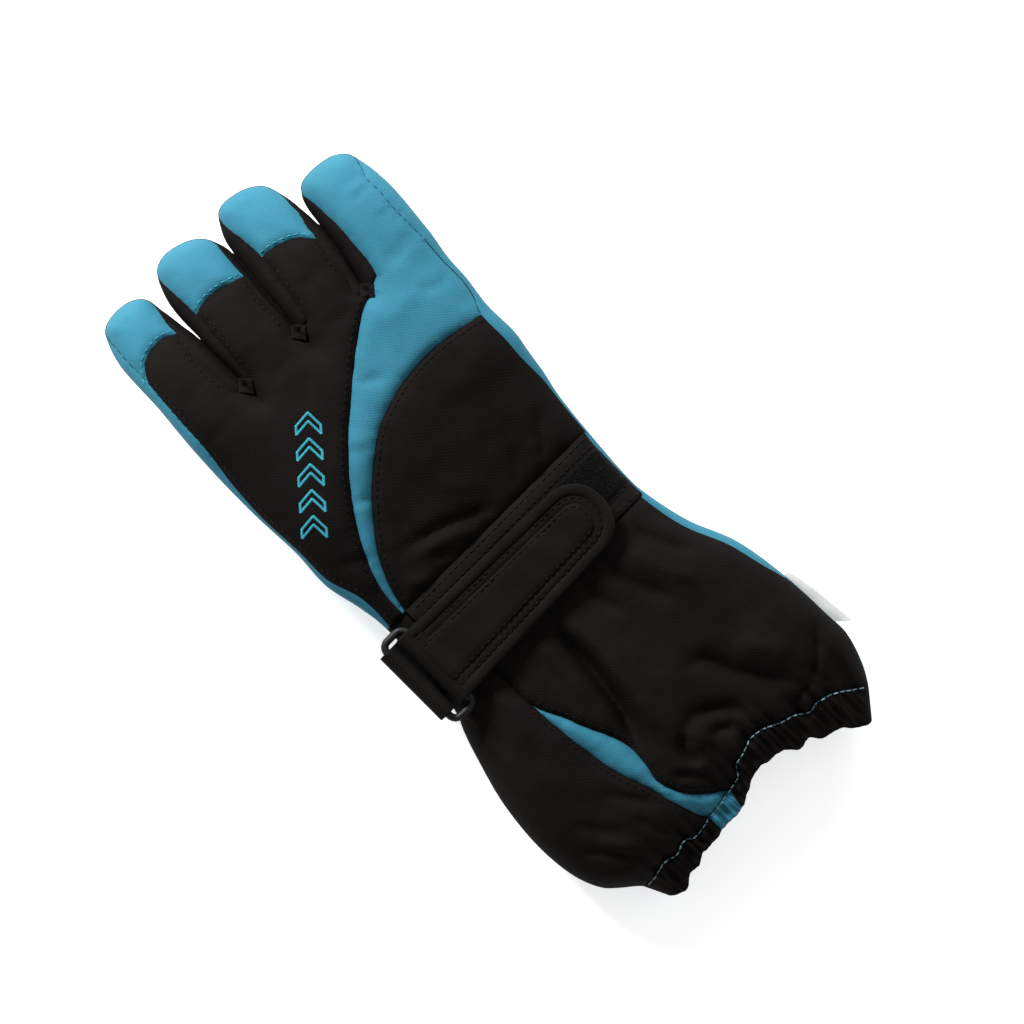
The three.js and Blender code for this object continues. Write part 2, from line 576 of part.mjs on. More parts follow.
function addRingAndStrap() {
  const { bar, corner, innerCorner } = RING;
  const halfX = RING.width / 2;
  const halfY = RING.length / 2;
  const frame = (x, y, r) => {
    const shape = new THREE.Shape();
    shape.moveTo(-x + r, -y).lineTo(x - r, -y).absarc(x - r, -y + r, r, -Math.PI / 2, 0);
    shape.absarc(x - r, y - r, r, 0, Math.PI / 2).absarc(-x + r, y - r, r, Math.PI / 2, Math.PI);
    shape.absarc(-x + r, -y + r, r, Math.PI, Math.PI * 1.5);
    return shape;
  };
  const outline = frame(halfX, halfY, corner);
  outline.holes.push(frame(halfX - bar, halfY - bar + innerCorner, innerCorner));
  const ring = new THREE.ExtrudeGeometry(outline, { depth: bar, bevelEnabled: false, curveSegments: 3 });
  add('strap_ring', toSolid(ring.translate(RING.x, RING.y, RING.z - bar / 2)), materials.plastic);

  const innerBar = [RING.x + halfX - bar / 2, RING.z];
  const outerBar = [RING.x - halfX + bar / 2, RING.z];
  const inside = bar * 0.75;
  const middleY = (STRAP.from + STRAP.to) / 2;
  const run = range(STRAP.endX, innerBar[0] + 6, 10);
  const layer = (lift) => run.map((x) => [x, heightAt(hand, 1, middleY, hand.depth(x, middleY), -lift)]);
  const bend = (radius) => wrapPoints(innerBar, radius, Math.PI / 2, Math.PI * 1.4, 6);
  const tail = strip(
    [...layer(STRAP_LIFT), ...bend(inside + STRAP.thickness)],
    [...layer(STRAP_LIFT - STRAP.thickness), ...bend(inside)],
    STRAP.from, STRAP.to,
  );
  const end = new THREE.Shape();
  const half = STRAP.endWidth / 2;
  end.moveTo(-60, STRAP.to).lineTo(STRAP.endX - half, middleY - half);
  end.absarc(STRAP.endX - half, middleY, half, -Math.PI / 2, Math.PI / 2).lineTo(-60, STRAP.from);
  add('strap_tail', tail.intersect(prism(end.getPoints(6))), materials.webbing);
  const hook = box(HOOK_TAPE.left, HOOK_TAPE.right, LOOP_TAPE.bottom - 2, LOOP_TAPE.top - 2);
  add('hook_tape', panel(hand, 1, [hook], { ...HOOK_TAPE }), materials.tape);

  const sideX = hand.left(STRAP.to) - 0.6;
  const loop = (radius) => wrapPoints(outerBar, radius, Math.PI * 0.1, Math.PI * 1.35, 6);
  const tab = strip(
    [...loop(inside + TAB.wall), [sideX - TAB.wall, TAB.topZ + 1], [sideX - TAB.wall, TAB.bottomZ]],
    [...loop(inside), [sideX, TAB.topZ], [sideX, TAB.bottomZ]],
    STRAP.from, STRAP.to,
  );
  add('ring_tab', tab, materials.webbing);
}

function addCuff() {
  const top = insideSides(cuff, CUFF_END_Y, CUFF_START_Y);
  const beforeHem = leftOf(hemSeam);
  const outerSide = leftOf(wedgeOuterSeam);
  const innerSide = rightOf(wedgeInnerSeam);
  add('cuff_back_outer', panel(cuff, 1, [top, beforeHem, outerSide]), materials.blackFabric);
  add('cuff_back_inner', panel(cuff, 1, [top, beforeHem, innerSide]), materials.blackFabric);
  const wedge = [top, beforeHem, rightOf(wedgeOuterSeam), leftOf(wedgeInnerSeam), box(-60, 40, -160, -60)];
  add('cuff_wedge', panel(cuff, 1, wedge), materials.blueFabric);

  const section = (y, inset, half) => {
    const levels = [[SEAM_DEPTH, 1], [1.2, 1], [0, 1], [1.5, -1], [7, -1], [HAND_ROLL, -1]];
    const reach = (SEAM_DEPTH - inset) / SEAM_DEPTH;
    const depthOf = (depth, side) => (side > 0 ? inset + depth * reach : inset + depth);
    const edge = half === 'left' ? cuff.left(y) : cuff.right(y);
    const direction = half === 'left' ? 1 : -1;
    const rolled = levels.map(([depth, side]) => {
      const into = depthOf(depth, side);
      return new THREE.Vector3(edge + direction * into, y, heightAt(cuff, side, y, into, inset));
    });
    return [...rolled, new THREE.Vector3(-direction * SEAM_GAP, y, cuff.bottom(y) + inset)];
  };
  const rows = [CUFF_START_Y, -50, -62, -78, -94, -110, -118, -124, -131, -138, CUFF_END_Y];
  const palmHalf = (half) => toSolid(wall(
    rows.map((y) => section(y, 0, half)),
    rows.map((y) => section(y, WALL, half)),
  )).intersect(prism(beforeHem));
  add('cuff_palm_inner', palmHalf('left'), materials.blueFabric);
  add('cuff_palm_outer', palmHalf('right'), materials.blueFabric);

  const hem = [rightOf(hemSeam), leftOf(hemEdge)];
  add('hem_back', panel(cuff, 1, [top, ...hem]), materials.blackFabric);
  const around = (y, inset) => [
    ...section(y, inset, 'left'),
    ...section(y, inset, 'right').slice(0, -1).reverse(),
  ];
  const within = (solid, regions) => regions.reduce((rest, region) => rest.intersect(prism(region)), solid);
  const hemSides = toSolid(wall(rows.map((y) => around(y, 0)), rows.map((y) => around(y, WALL))));
  add('hem_palm', within(hemSides, hem), materials.blueFabric);
  const elastic = toSolid(sleeve(cuff, CUFF_END_Y, -112, WALL + CLEARANCE, LINING, 6));
  const channel = [rightOf(offset(hemSeam, -1.5)), leftOf(offset(hemEdge, 1.5))];
  add('hem_elastic', within(elastic, channel), materials.elastic);
  const lining = toSolid(sleeve(cuff, -142, CUFF_START_Y, WALL + CLEARANCE, LINING, 8));
  add('cuff_lining', lining.intersect(prism(leftOf(offset(hemSeam, 1)))), materials.lining);

  const { width, length, thickness, y: labelY, z: labelZ, gap } = LABEL;
  const label = new THREE.BoxGeometry(width, length, thickness);
  label.translate(cuff.right(labelY) + width / 2 + gap, labelY, labelZ);
  add('side_label', label, materials.reflective);
}

addHand();
addMotif();
Object.entries(fingers).forEach(([name, form]) => addFinger(name, form));
addThumb();
addWrist();
addRingAndStrap();
addCuff();

export default glove;
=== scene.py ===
"""A right-hand ski glove lying palm down: panels, seams, stitching and trims round the frame.

Lengths are millimetres in the glove's pattern coordinates until to_world() turns them into metres.
"""
import math

import bpy
import numpy as np
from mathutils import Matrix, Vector, noise
from mathutils.geometry import delaunay_2d_cdt
from mathutils.kdtree import KDTree


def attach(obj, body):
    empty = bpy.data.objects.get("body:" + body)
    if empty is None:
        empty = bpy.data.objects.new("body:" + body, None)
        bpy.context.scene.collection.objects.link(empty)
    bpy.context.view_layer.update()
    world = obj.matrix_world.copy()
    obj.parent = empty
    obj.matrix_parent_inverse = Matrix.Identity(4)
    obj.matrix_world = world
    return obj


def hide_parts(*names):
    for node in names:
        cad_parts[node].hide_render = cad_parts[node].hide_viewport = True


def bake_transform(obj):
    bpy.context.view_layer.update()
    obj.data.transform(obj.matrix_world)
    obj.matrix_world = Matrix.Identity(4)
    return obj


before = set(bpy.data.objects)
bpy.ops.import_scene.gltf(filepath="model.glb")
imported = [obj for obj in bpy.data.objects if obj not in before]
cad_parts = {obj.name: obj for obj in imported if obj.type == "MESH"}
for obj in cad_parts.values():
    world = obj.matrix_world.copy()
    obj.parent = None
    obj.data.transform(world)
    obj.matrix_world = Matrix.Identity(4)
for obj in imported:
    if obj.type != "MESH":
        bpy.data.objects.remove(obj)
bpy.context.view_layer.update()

# driving dimensions, as in the part's source
CENTRE = np.array([2.33, 2.275, 0.0])
FULLNESS = 2.6
HAND_ROLL = 26.0
FINGER_ROLL = 13.5
SPLIT_Y = 87.5            # hand pieces end here and finger pieces start
HAND_BASE_Y = -0.5        # hand pieces start here
WRIST_SPLIT_Y = -31.0     # cuff pieces start here
PALM_SPLIT_Y = -33.0
LINING_TOP_Y = -46.0      # how far the cuff's lining reaches up
STITCH_LENGTH = 2.0
STITCH_PITCH = 2.75
THREAD = 0.21
GRID = 2.0
INSET = 0.6               # a row of points this far inside each panel's edge keeps its seam crisp


# curves
def spline(points, step=1.6):
    """Smooth curve through the points, sampled about every step."""
    points = np.array(points, float)
    ends = np.vstack([2 * points[0] - points[1], points, 2 * points[-1] - points[-2]])
    out = []
    for a, b, c, d in zip(ends, ends[1:], ends[2:], ends[3:]):
        count = max(2, int(math.ceil(np.linalg.norm(c - b) / step)))
        t = np.linspace(0, 1, count, endpoint=False)[:, None]
        out.append(0.5 * (2 * b + (c - a) * t + (2 * a - 5 * b + 4 * c - d) * t**2 + (
            3 * b - a - 3 * c + d) * t**3))
    return np.vstack(out + [points[-1:]])


def profile(*pairs):
    """A value along Y, read from a smooth curve through (y, value) pairs."""
    line = spline(pairs, 1.0)
    line = line[np.argsort(line[:, 0])]
    return lambda y: np.interp(y, line[:, 0], line[:, 1])


def resample(line, step):
    steps = np.r_[0, np.cumsum(np.linalg.norm(np.diff(line, axis=0), axis=1))]
    at = np.linspace(0, steps[-1], max(2, int(round(steps[-1] / step)) + 1))
    return np.column_stack([np.interp(at, steps, line[:, k]) for k in range(line.shape[1])])


def level_line(x0, x1, y, count=40):
    """A straight row of points across the glove at one Y."""
    return np.column_stack([np.linspace(x0, x1, count), np.full(count, y)])


def normals_of(line):
    """Unit directions to the left of a line's travel."""
    along = np.gradient(line, axis=0)
    along /= np.linalg.norm(along, axis=1)[:, None] + 1e-12
    return np.column_stack([-along[:, 1], along[:, 0]])


def smoothstep(low, high, value):
    t = np.clip((value - low) / (high - low), 0, 1)
    return t * t * (3 - 2 * t)


def distance_to(line, x, y):
    """Distance from points to a polyline, and the share of its length where the nearest point lies."""
    best = np.full(x.shape, 1e9)
    share = np.zeros(x.shape)
    starts, ends = line[:-1], line[1:]
    lengths = np.linalg.norm(ends - starts, axis=1)
    total = lengths.sum()
    gone = 0.0
    for a, b, length in zip(starts, ends, lengths):
        d = b - a
        t = np.clip(((x - a[0]) * d[0] + (y - a[1]) * d[1]) / (length**2 + 1e-12), 0, 1)
        gap = np.hypot(x - a[0] - t * d[0], y - a[1] - t * d[1])
        nearer = gap < best
        best = np.where(nearer, gap, best)
        share = np.where(nearer, (gone + t * length) / total, share)
        gone += length
    return best, share


def fractal(x, y, scale, seed=0.0, octaves=2):
    out = np.empty(x.shape)
    for i in np.ndindex(x.shape):
        out[i] = noise.fractal(Vector((x[i] / scale, y[i] / scale, seed)), 1.0, 2.0, octaves)
    return out


# silhouettes and heights
LEFT = profile((-152, -44.6), (-143, -45.2), (-136, -47), (-131, -50.4), (-125.7, -56.4),
    (-120.6, -60.9), (-111, -64.5), (-98, -66), (-85, -65.5), (-71, -63.3), (-54, -58.4), (-46, -55.6),
    (-38, -52.4), (-20, -50), (0, -48.8), (12, -50.2), (26, -53), (42, -52.2), (61, -53), (81, -52.9),
    (100, -51.8))
RIGHT = profile((-152, 51), (-146, 54), (-140, 58.5), (-131, 63.6), (-119, 67.2), (-109, 67), (-88, 66),
    (-67, 62.6), (-49, 55.4), (-31, 51.4), (-20, 51), (0, 52.3), (15, 53.9), (25, 56), (34, 57.4),
    (43, 58.8), (56, 58.6), (68, 60.2), (78, 60.8), (90, 62.8), (107, 64.8))
TOP = profile((-152, 20), (-140, 22), (-130, 26), (-116, 32.5), (-95, 35.5), (-60, 35.5), (-42, 35),
    (-30, 35.5), (-4, 36.2), (20, 40), (45, 44), (70, 43), (90, 41.5), (110, 38.5), (130, 32),
    (152, 24))
BOTTOM = profile((-152, 2), (-140, 1), (-124, 0.3), (-100, 0.2), (-70, 0.3), (-55, 2), (-42, 6),
    (-34, 8.5), (-20, 10.5), (-8, 14.5), (4, 18), (30, 18.2), (60, 18), (90, 17.6), (110, 13), (130, 7),
    (152, 2))

OUTLINES = {"index": spline([(-52.9, 60), (-52.7, 86), (-51.7, 101.9), (-50.8, 113.8), (-50.7, 124.9),
    (-50.4, 133), (-49.3, 139.1), (-47.8, 143.6), (-46, 147.4), (-43.6, 149.3), (-39.3, 150.3),
    (-34.3, 150.2), (-29.8, 148.7), (-26.4, 145.3), (-25.4, 139.1), (-24.6, 134.4), (-24.0, 129.4),
    (-23.0, 122.6), (-22.8, 112), (-22.6, 102), (-22.5, 90), (-22.5, 60)]),
    "middle": spline([(-22.3, 60), (-22.3, 90), (-22.4, 102), (-22.5, 112), (-22.6, 124), (-22.6, 131),
    (-21.8, 138.3), (-19.9, 144.7), (-17.6, 149.2), (-14.3, 151.8), (-9.6, 152.6), (-4.2, 151.4),
    (0.3, 149.4), (3.7, 146.4), (5.6, 143), (7.3, 136.6), (6.6, 126.9), (5.5, 116.9), (4.9, 107.4),
    (4.4, 100.8), (3.9, 92), (3, 60)]), "ring": spline([(3.4, 60), (4.3, 92), (4.8, 100.8),
    (5.3, 107.4), (5.9, 116.9), (7, 126.9), (7.9, 136.8), (9, 141.3), (11.2, 145.8), (13.4, 149),
    (16.2, 150.5), (20.4, 150.5), (25.7, 149.2), (30, 146.9), (32.9, 143.9), (34.4, 139.9),
    (35.7, 133.6), (36.2, 127.4), (36.5, 121.6), (35.9, 111.9), (34.8, 104.1), (32.9, 96.1), (31.5, 88),
    (31, 60)]), "pinky": spline([(31.4, 60), (31.9, 88), (33.4, 96.1), (35.3, 104.1), (36.4, 111.9),
    (37, 121.6), (38.2, 128.6), (40.1, 132.6), (43, 135.2), (47.3, 135.9), (52.1, 135.6), (56.7, 134.6),
    (60.6, 132.2), (62.8, 129), (63.9, 123.8), (64.6, 118), (64.6, 107), (62.5, 87), (60, 60)]),}
VALLEYS = [lambda y: -60 + 0 * y, profile((60, -22.4), (90, -22.4), (102, -22.5), (112, -22.65),
    (124, -22.8), (160, -23.2)), profile((60, 3.2), (92, 4.1), (100.8, 4.6), (107.4, 5.1), (116.9, 5.7),
    (126.9, 6.8), (137, 7.6), (160, 7.8)), profile((60, 31.2), (88, 31.7), (96.1, 33.15),
    (104.1, 35.05), (111.9, 36.15), (121.6, 36.75), (160, 37)), lambda y: 75 + 0 * y]
FINGERS = list(OUTLINES)
MEETING_Y = [0, 121, 134.5, 119.5, 0]      # below these heights neighbouring fingers touch
for number, outline in enumerate(OUTLINES.values()):
    on_left = np.arange(len(outline)) < np.argmax(outline[:, 1])
    for side, here, gap in ((0, on_left, -0.15), (1, ~on_left, 0.15)):
        touching = here & (outline[:, 1] < MEETING_Y[number + side])
        outline[touching, 0] = VALLEYS[number + side](outline[touching, 1]) + gap


def puff(depth, roll):
    share = np.clip(depth / roll, 0, 1)
    return (1 - (1 - share) ** FULLNESS) ** (1 / FULLNESS)


def fullness_at(x, y):
    """Share of the full half height that the surface has at a point."""
    hand = puff(np.minimum(x - LEFT(y), RIGHT(y) - x), HAND_ROLL)
    weight = smoothstep(80, 97, y)
    if not np.any(weight > 0):
        return hand
    finger = np.zeros(x.shape)
    for name, low, high in zip(FINGERS, VALLEYS, VALLEYS[1:]):
        inside = (x >= low(y)) & (x < high(y)) & (weight > 0)
        if inside.any():
            depth, _ = distance_to(OUTLINES[name], x[inside], y[inside])
            finger[inside] = puff(depth, FINGER_ROLL)
    return (1 - weight) * hand + weight * finger


# seam lines
KNUCKLE_SEAM = spline([(-40.5, -0.5), (-39.9, 9.6), (-36.3, 20.6), (-30.8, 31), (-25.6, 39),
    (-18.3, 48), (-8.8, 58), (-0.4, 65.2), (6.8, 71.3), (14.8, 77.7), (24.6, 84.6), (31.7, SPLIT_Y)])
OUTER_SEAM = spline([(-39.4, -0.5), (-37.6, 7.2), (-34.5, 15.1), (-29, 24.3), (-22.4, 32.4),
    (-15.8, 39.3), (-7.9, 46), (0.1, 51.5), (7.1, 54.3), (15.7, 56.8), (26.7, 58), (37.4, 57.7),
    (46.9, 56.1), (54.4, 54.8)])
WEDGE_OUTER = spline([(-31.4, WRIST_SPLIT_Y), (-31.4, -45), (-30.9, -56.5), (-26.3, -66.7),
    (-23.1, -74.8), (-19, -83.7), (-17, -91.4), (-17.4, -99.9), (-18.6, -106), (-17, -112.5),
    (-12.7, -119.6), (-3.7, -127.6)])
WEDGE_INNER = spline([(-30.9, -56.5), (-30.4, -65.8), (-29.1, -77.6), (-26.7, -93), (-22.6, -105.2),
    (-19.4, -118.2), (-15.5, -129.5)])
HEM_SEAM = spline([(-49.8, -132), (-43, -130.4), (-37.9, -128.8), (-33, -130.6), (-27.3, -128.2),
    (-23.7, -131), (-15.5, -129.5), (-9, -128.6), (-3.7, -127.6), (3.3, -126), (5.4, -122.2),
    (11.4, -120.6), (16.7, -118.6), (22.6, -120), (26.7, -122.4), (33, -124.3), (37, -128),
    (41.9, -126.9), (49.6, -129.6), (54.5, -133.4), (60, -137.6)])
HEM_EDGE = spline([(-45.6, -141), (-42, -142.6), (-38.5, -143), (-34, -139.8), (-29.5, -139.7),
    (-25.9, -137.7), (-19, -137.4), (-11.3, -136.1), (-4.8, -136.1), (1.3, -133.2), (6.5, -130.6),
    (11.4, -129.4), (15.1, -130.8), (18.6, -130.6), (22.4, -132.6), (26, -136), (30.5, -134.8),
    (34.3, -139.1), (40.7, -140.7), (44.5, -144.4), (49.2, -147.8), (51.8, -148)])
CAP_SEAMS = {"index": spline([(-46.6, 122), (-44.3, 125.8), (-41.3, 128.3), (-36, 129.8),
    (-31.6, 129.6), (-27.4, 127.7)]), "middle": spline([(-17.1, 126.9), (-14.6, 127.8), (-9.6, 128.4),
    (-3.8, 127.4), (4.3, 124.9)]), "ring": spline([(14.3, 124.9), (18.7, 124.4), (23.7, 122.7),
    (27.9, 120.2), (31.8, 115.4)]),}
PALM_SEAM = spline([(-48.5, 52), (-34, 62), (-6, 70), (20, 68), (40, 64), (55.5, 58)])
INDEX_REVEAL = profile((-2, 1.2), (15, 3.6), (28, 2.1), (43, 1.3), (60, 1.4), (75, 2.4), (85, 3.6),
    (92, 4.2), (101, 3.9), (114, 3.6), (122, 4.1), (129, 3.9), (138.6, 3.1), (143, 1.9), (147, 0.7),
    (151, 0.3))
PINKY_REVEAL = profile((-2, 0.7), (18, 1.2), (29, 3), (41, 4.5), (55, 4.2), (61, 2.4), (68, 2),
    (80, 2.7), (93, 4.2), (102, 5.1), (112, 4.9), (118.6, 4.7), (122.2, 3), (125.5, 1.5), (129, 0.4),
    (137, 0.3))
# The side walls' reveals on the upper surface: left and right of each finger, by Y.
SIDE_REVEALS = {"index": (INDEX_REVEAL, profile((86, 5), (99, 5), (103.3, 5.2), (112.4, 6),
    (122.2, 4.9), (127.7, 3.4), (132.7, 2.8), (135.8, 1.9), (141, 0.4), (151, 0.3))),
    "middle": (profile((86, 2.8), (97, 2.9), (101, 3.3), (108.3, 4.1), (118, 4.9), (125.2, 5.4),
    (133.8, 5), (140.2, 3.7), (146.6, 1.2), (149.5, 0.3), (154, 0.3)),
    profile((86, 1.8), (99.4, 1.9), (104.1, 2.1), (111.9, 2.4), (119.1, 2.5), (124.9, 2.4), (133, 2.8),
    (138.8, 1.8), (143.3, 0.4), (154, 0.3))), "ring": (profile((86, 5), (99.1, 5.4), (106.1, 6.2),
    (114.9, 6.8), (124.4, 7.3), (132.2, 6.5), (140.2, 4.4), (145.8, 1.5), (149.1, 0.3), (152, 0.3)),
    profile((86, 4), (93.3, 4.4), (97.4, 3.7), (105.2, 4.6), (111.3, 4.9), (115.4, 4.6), (121.1, 3.8),
    (127.7, 1.9), (131.9, 1.6), (138, 0.4), (152, 0.3))),
    "pinky": (profile((86, 6), (91.2, 6.2), (97.7, 6.2), (104.9, 5.1), (113.3, 4.7), (120.8, 3.9),
    (127.4, 2.6), (132.6, 0.4), (137, 0.3)), PINKY_REVEAL),}
CROTCHES = [None, 96.4, 96.6, 89.6, None]      # where each gusset's square lower end lies
PALM_REVEAL = 4.6
CUFF_LEFT_REVEAL = 1.0
CUFF_RIGHT_REVEAL = profile((-140, 0.3), (-95, 0.3), (-86, 1.2), (-75, 2.7), (-50, 3.0), (-28, 2.2))


class Border:
    """A silhouette line with the reveal of its side wall on the upper and the lower surface."""

    def __init__(self, line, top_reveal, palm_reveal):
        self.line = line
        self.inward = normals_of(line)
        self.reveals = {1: top_reveal, -1: palm_reveal}

    def seam(self, side):
        return self.line + self.inward * self.reveals[side][:, None]

    def part(self, keep):
        piece = Border(self.line[keep], self.reveals[1][keep], self.reveals[-1][keep])
        piece.inward = self.inward[keep]
        return piece


def hand_border(edge, reveal, low, high, direction):
    y = np.linspace(low, high, int((high - low) / 1.6) + 1)
    border = Border(np.column_stack([edge(y), y]), reveal(y), np.full(y.shape, PALM_REVEAL))
    border.inward = np.tile([direction, 0.0], (len(y), 1))
    return border


def finger_border(name):
    line = OUTLINES[name]
    line = line[line[:, 1] > SPLIT_Y + 0.4]
    number = FINGERS.index(name)
    edges = [VALLEYS[number](SPLIT_Y) + 0.02, VALLEYS[number + 1](SPLIT_Y) - 0.02]
    if name == "index":
        edges[0] = LEFT(SPLIT_Y)
    if name == "pinky":
        edges[1] = RIGHT(SPLIT_Y)
    line = resample(np.vstack([[(edges[0], SPLIT_Y)], line, [(edges[1], SPLIT_Y)]]), 1.1)
    y = line[:, 1]
    on_left = np.arange(len(line)) < np.argmax(y)
    left, right = SIDE_REVEALS[name]
    top = np.where(on_left, left(y), right(y))
    palm = np.full(y.shape, PALM_REVEAL)
    for crotch, here in zip(CROTCHES[number : number + 2], (on_left, ~on_left)):
        if crotch:
            shown = smoothstep(crotch - 0.9, crotch + 0.9, y)
            top = np.where(here, top * shown, top)
            palm = np.where(here, palm * shown, palm)
    border = Border(line, top, palm)
    fade = smoothstep(SPLIT_Y, SPLIT_Y + 14, y)[:, None]
    straight = np.where(on_left, 1.0, -1.0)[:, None] * np.array([[1.0, 0.0]])
    border.inward = straight * (1 - fade) - border.inward * fade
    border.inward /= np.linalg.norm(border.inward, axis=1)[:, None]
    return border


INDEX_BORDER = hand_border(LEFT, INDEX_REVEAL, HAND_BASE_Y, SPLIT_Y, 1.0)
PINKY_BORDER = hand_border(RIGHT, PINKY_REVEAL, HAND_BASE_Y, SPLIT_Y, -1.0)
CUFF_LEFT = hand_border(LEFT, lambda y: np.full(y.shape, CUFF_LEFT_REVEAL), -132, WRIST_SPLIT_Y, 1.0)
CUFF_RIGHT = hand_border(RIGHT, CUFF_RIGHT_REVEAL, -137.6, WRIST_SPLIT_Y, -1.0)
FINGER_BORDERS = {name: finger_border(name) for name in FINGERS}

TOP_SEAMS = [KNUCKLE_SEAM, OUTER_SEAM, WEDGE_OUTER, WEDGE_INNER, HEM_SEAM, INDEX_BORDER.seam(1),
    PINKY_BORDER.seam(1), CUFF_LEFT.seam(1), CUFF_RIGHT.seam(1), *CAP_SEAMS.values(),
    spline([(-48, -0.5), (51, -0.5)])]
PALM_SEAMS = [PALM_SEAM, INDEX_BORDER.seam(-1), PINKY_BORDER.seam(-1), HEM_SEAM,
    spline([(0, PALM_SPLIT_Y), (0, -119)])]
for edge in FINGER_BORDERS.values():
    shown = edge.line[:, 1] > SPLIT_Y + 1.6
    TOP_SEAMS.append(edge.seam(1)[shown])
    PALM_SEAMS.append(edge.seam(-1)[shown])


class SeamField:
    """The pinch of the cloth near its seams, with small puckers along them."""

    def __init__(self, seams, depth=1.0, width=2.0, groove=1.0):
        self.depth, self.width, self.groove = depth, width, groove
        lines = [resample(seam, 0.8) for seam in seams]
        self.points = np.vstack(lines)
        self.run = np.concatenate([np.arange(len(line)) * 0.8 + 37.0 * i for i,
            line in enumerate(lines)])
        self.tree = KDTree(len(self.points))
        for i, (x, y) in enumerate(self.points):
            self.tree.insert((x, y, 0), i)
        self.tree.balance()

    def __call__(self, x, y):
        gap = np.empty(x.shape)
        run = np.empty(x.shape)
        for i in np.ndindex(x.shape):
            _, index, distance = self.tree.find((x[i], y[i], 0))
            gap[i] = distance
            run[i] = self.run[index]
        pinch = -self.depth * np.exp(-((gap / self.width) ** 2)) - self.groove * np.exp(
            -((gap / 0.42) ** 2))
        belly = 0.8 * (1 - np.exp(-gap / 6))
        pucker = 0.22 * np.sin(run * 0.95 + 2.2 * np.sin(run * 0.31)) * np.exp(-gap / 3.4)
        return pinch + belly + pucker * np.clip(gap / 1.2, 0, 1)


TOP_FIELD = SeamField(TOP_SEAMS)
PALM_FIELD = SeamField(PALM_SEAMS)

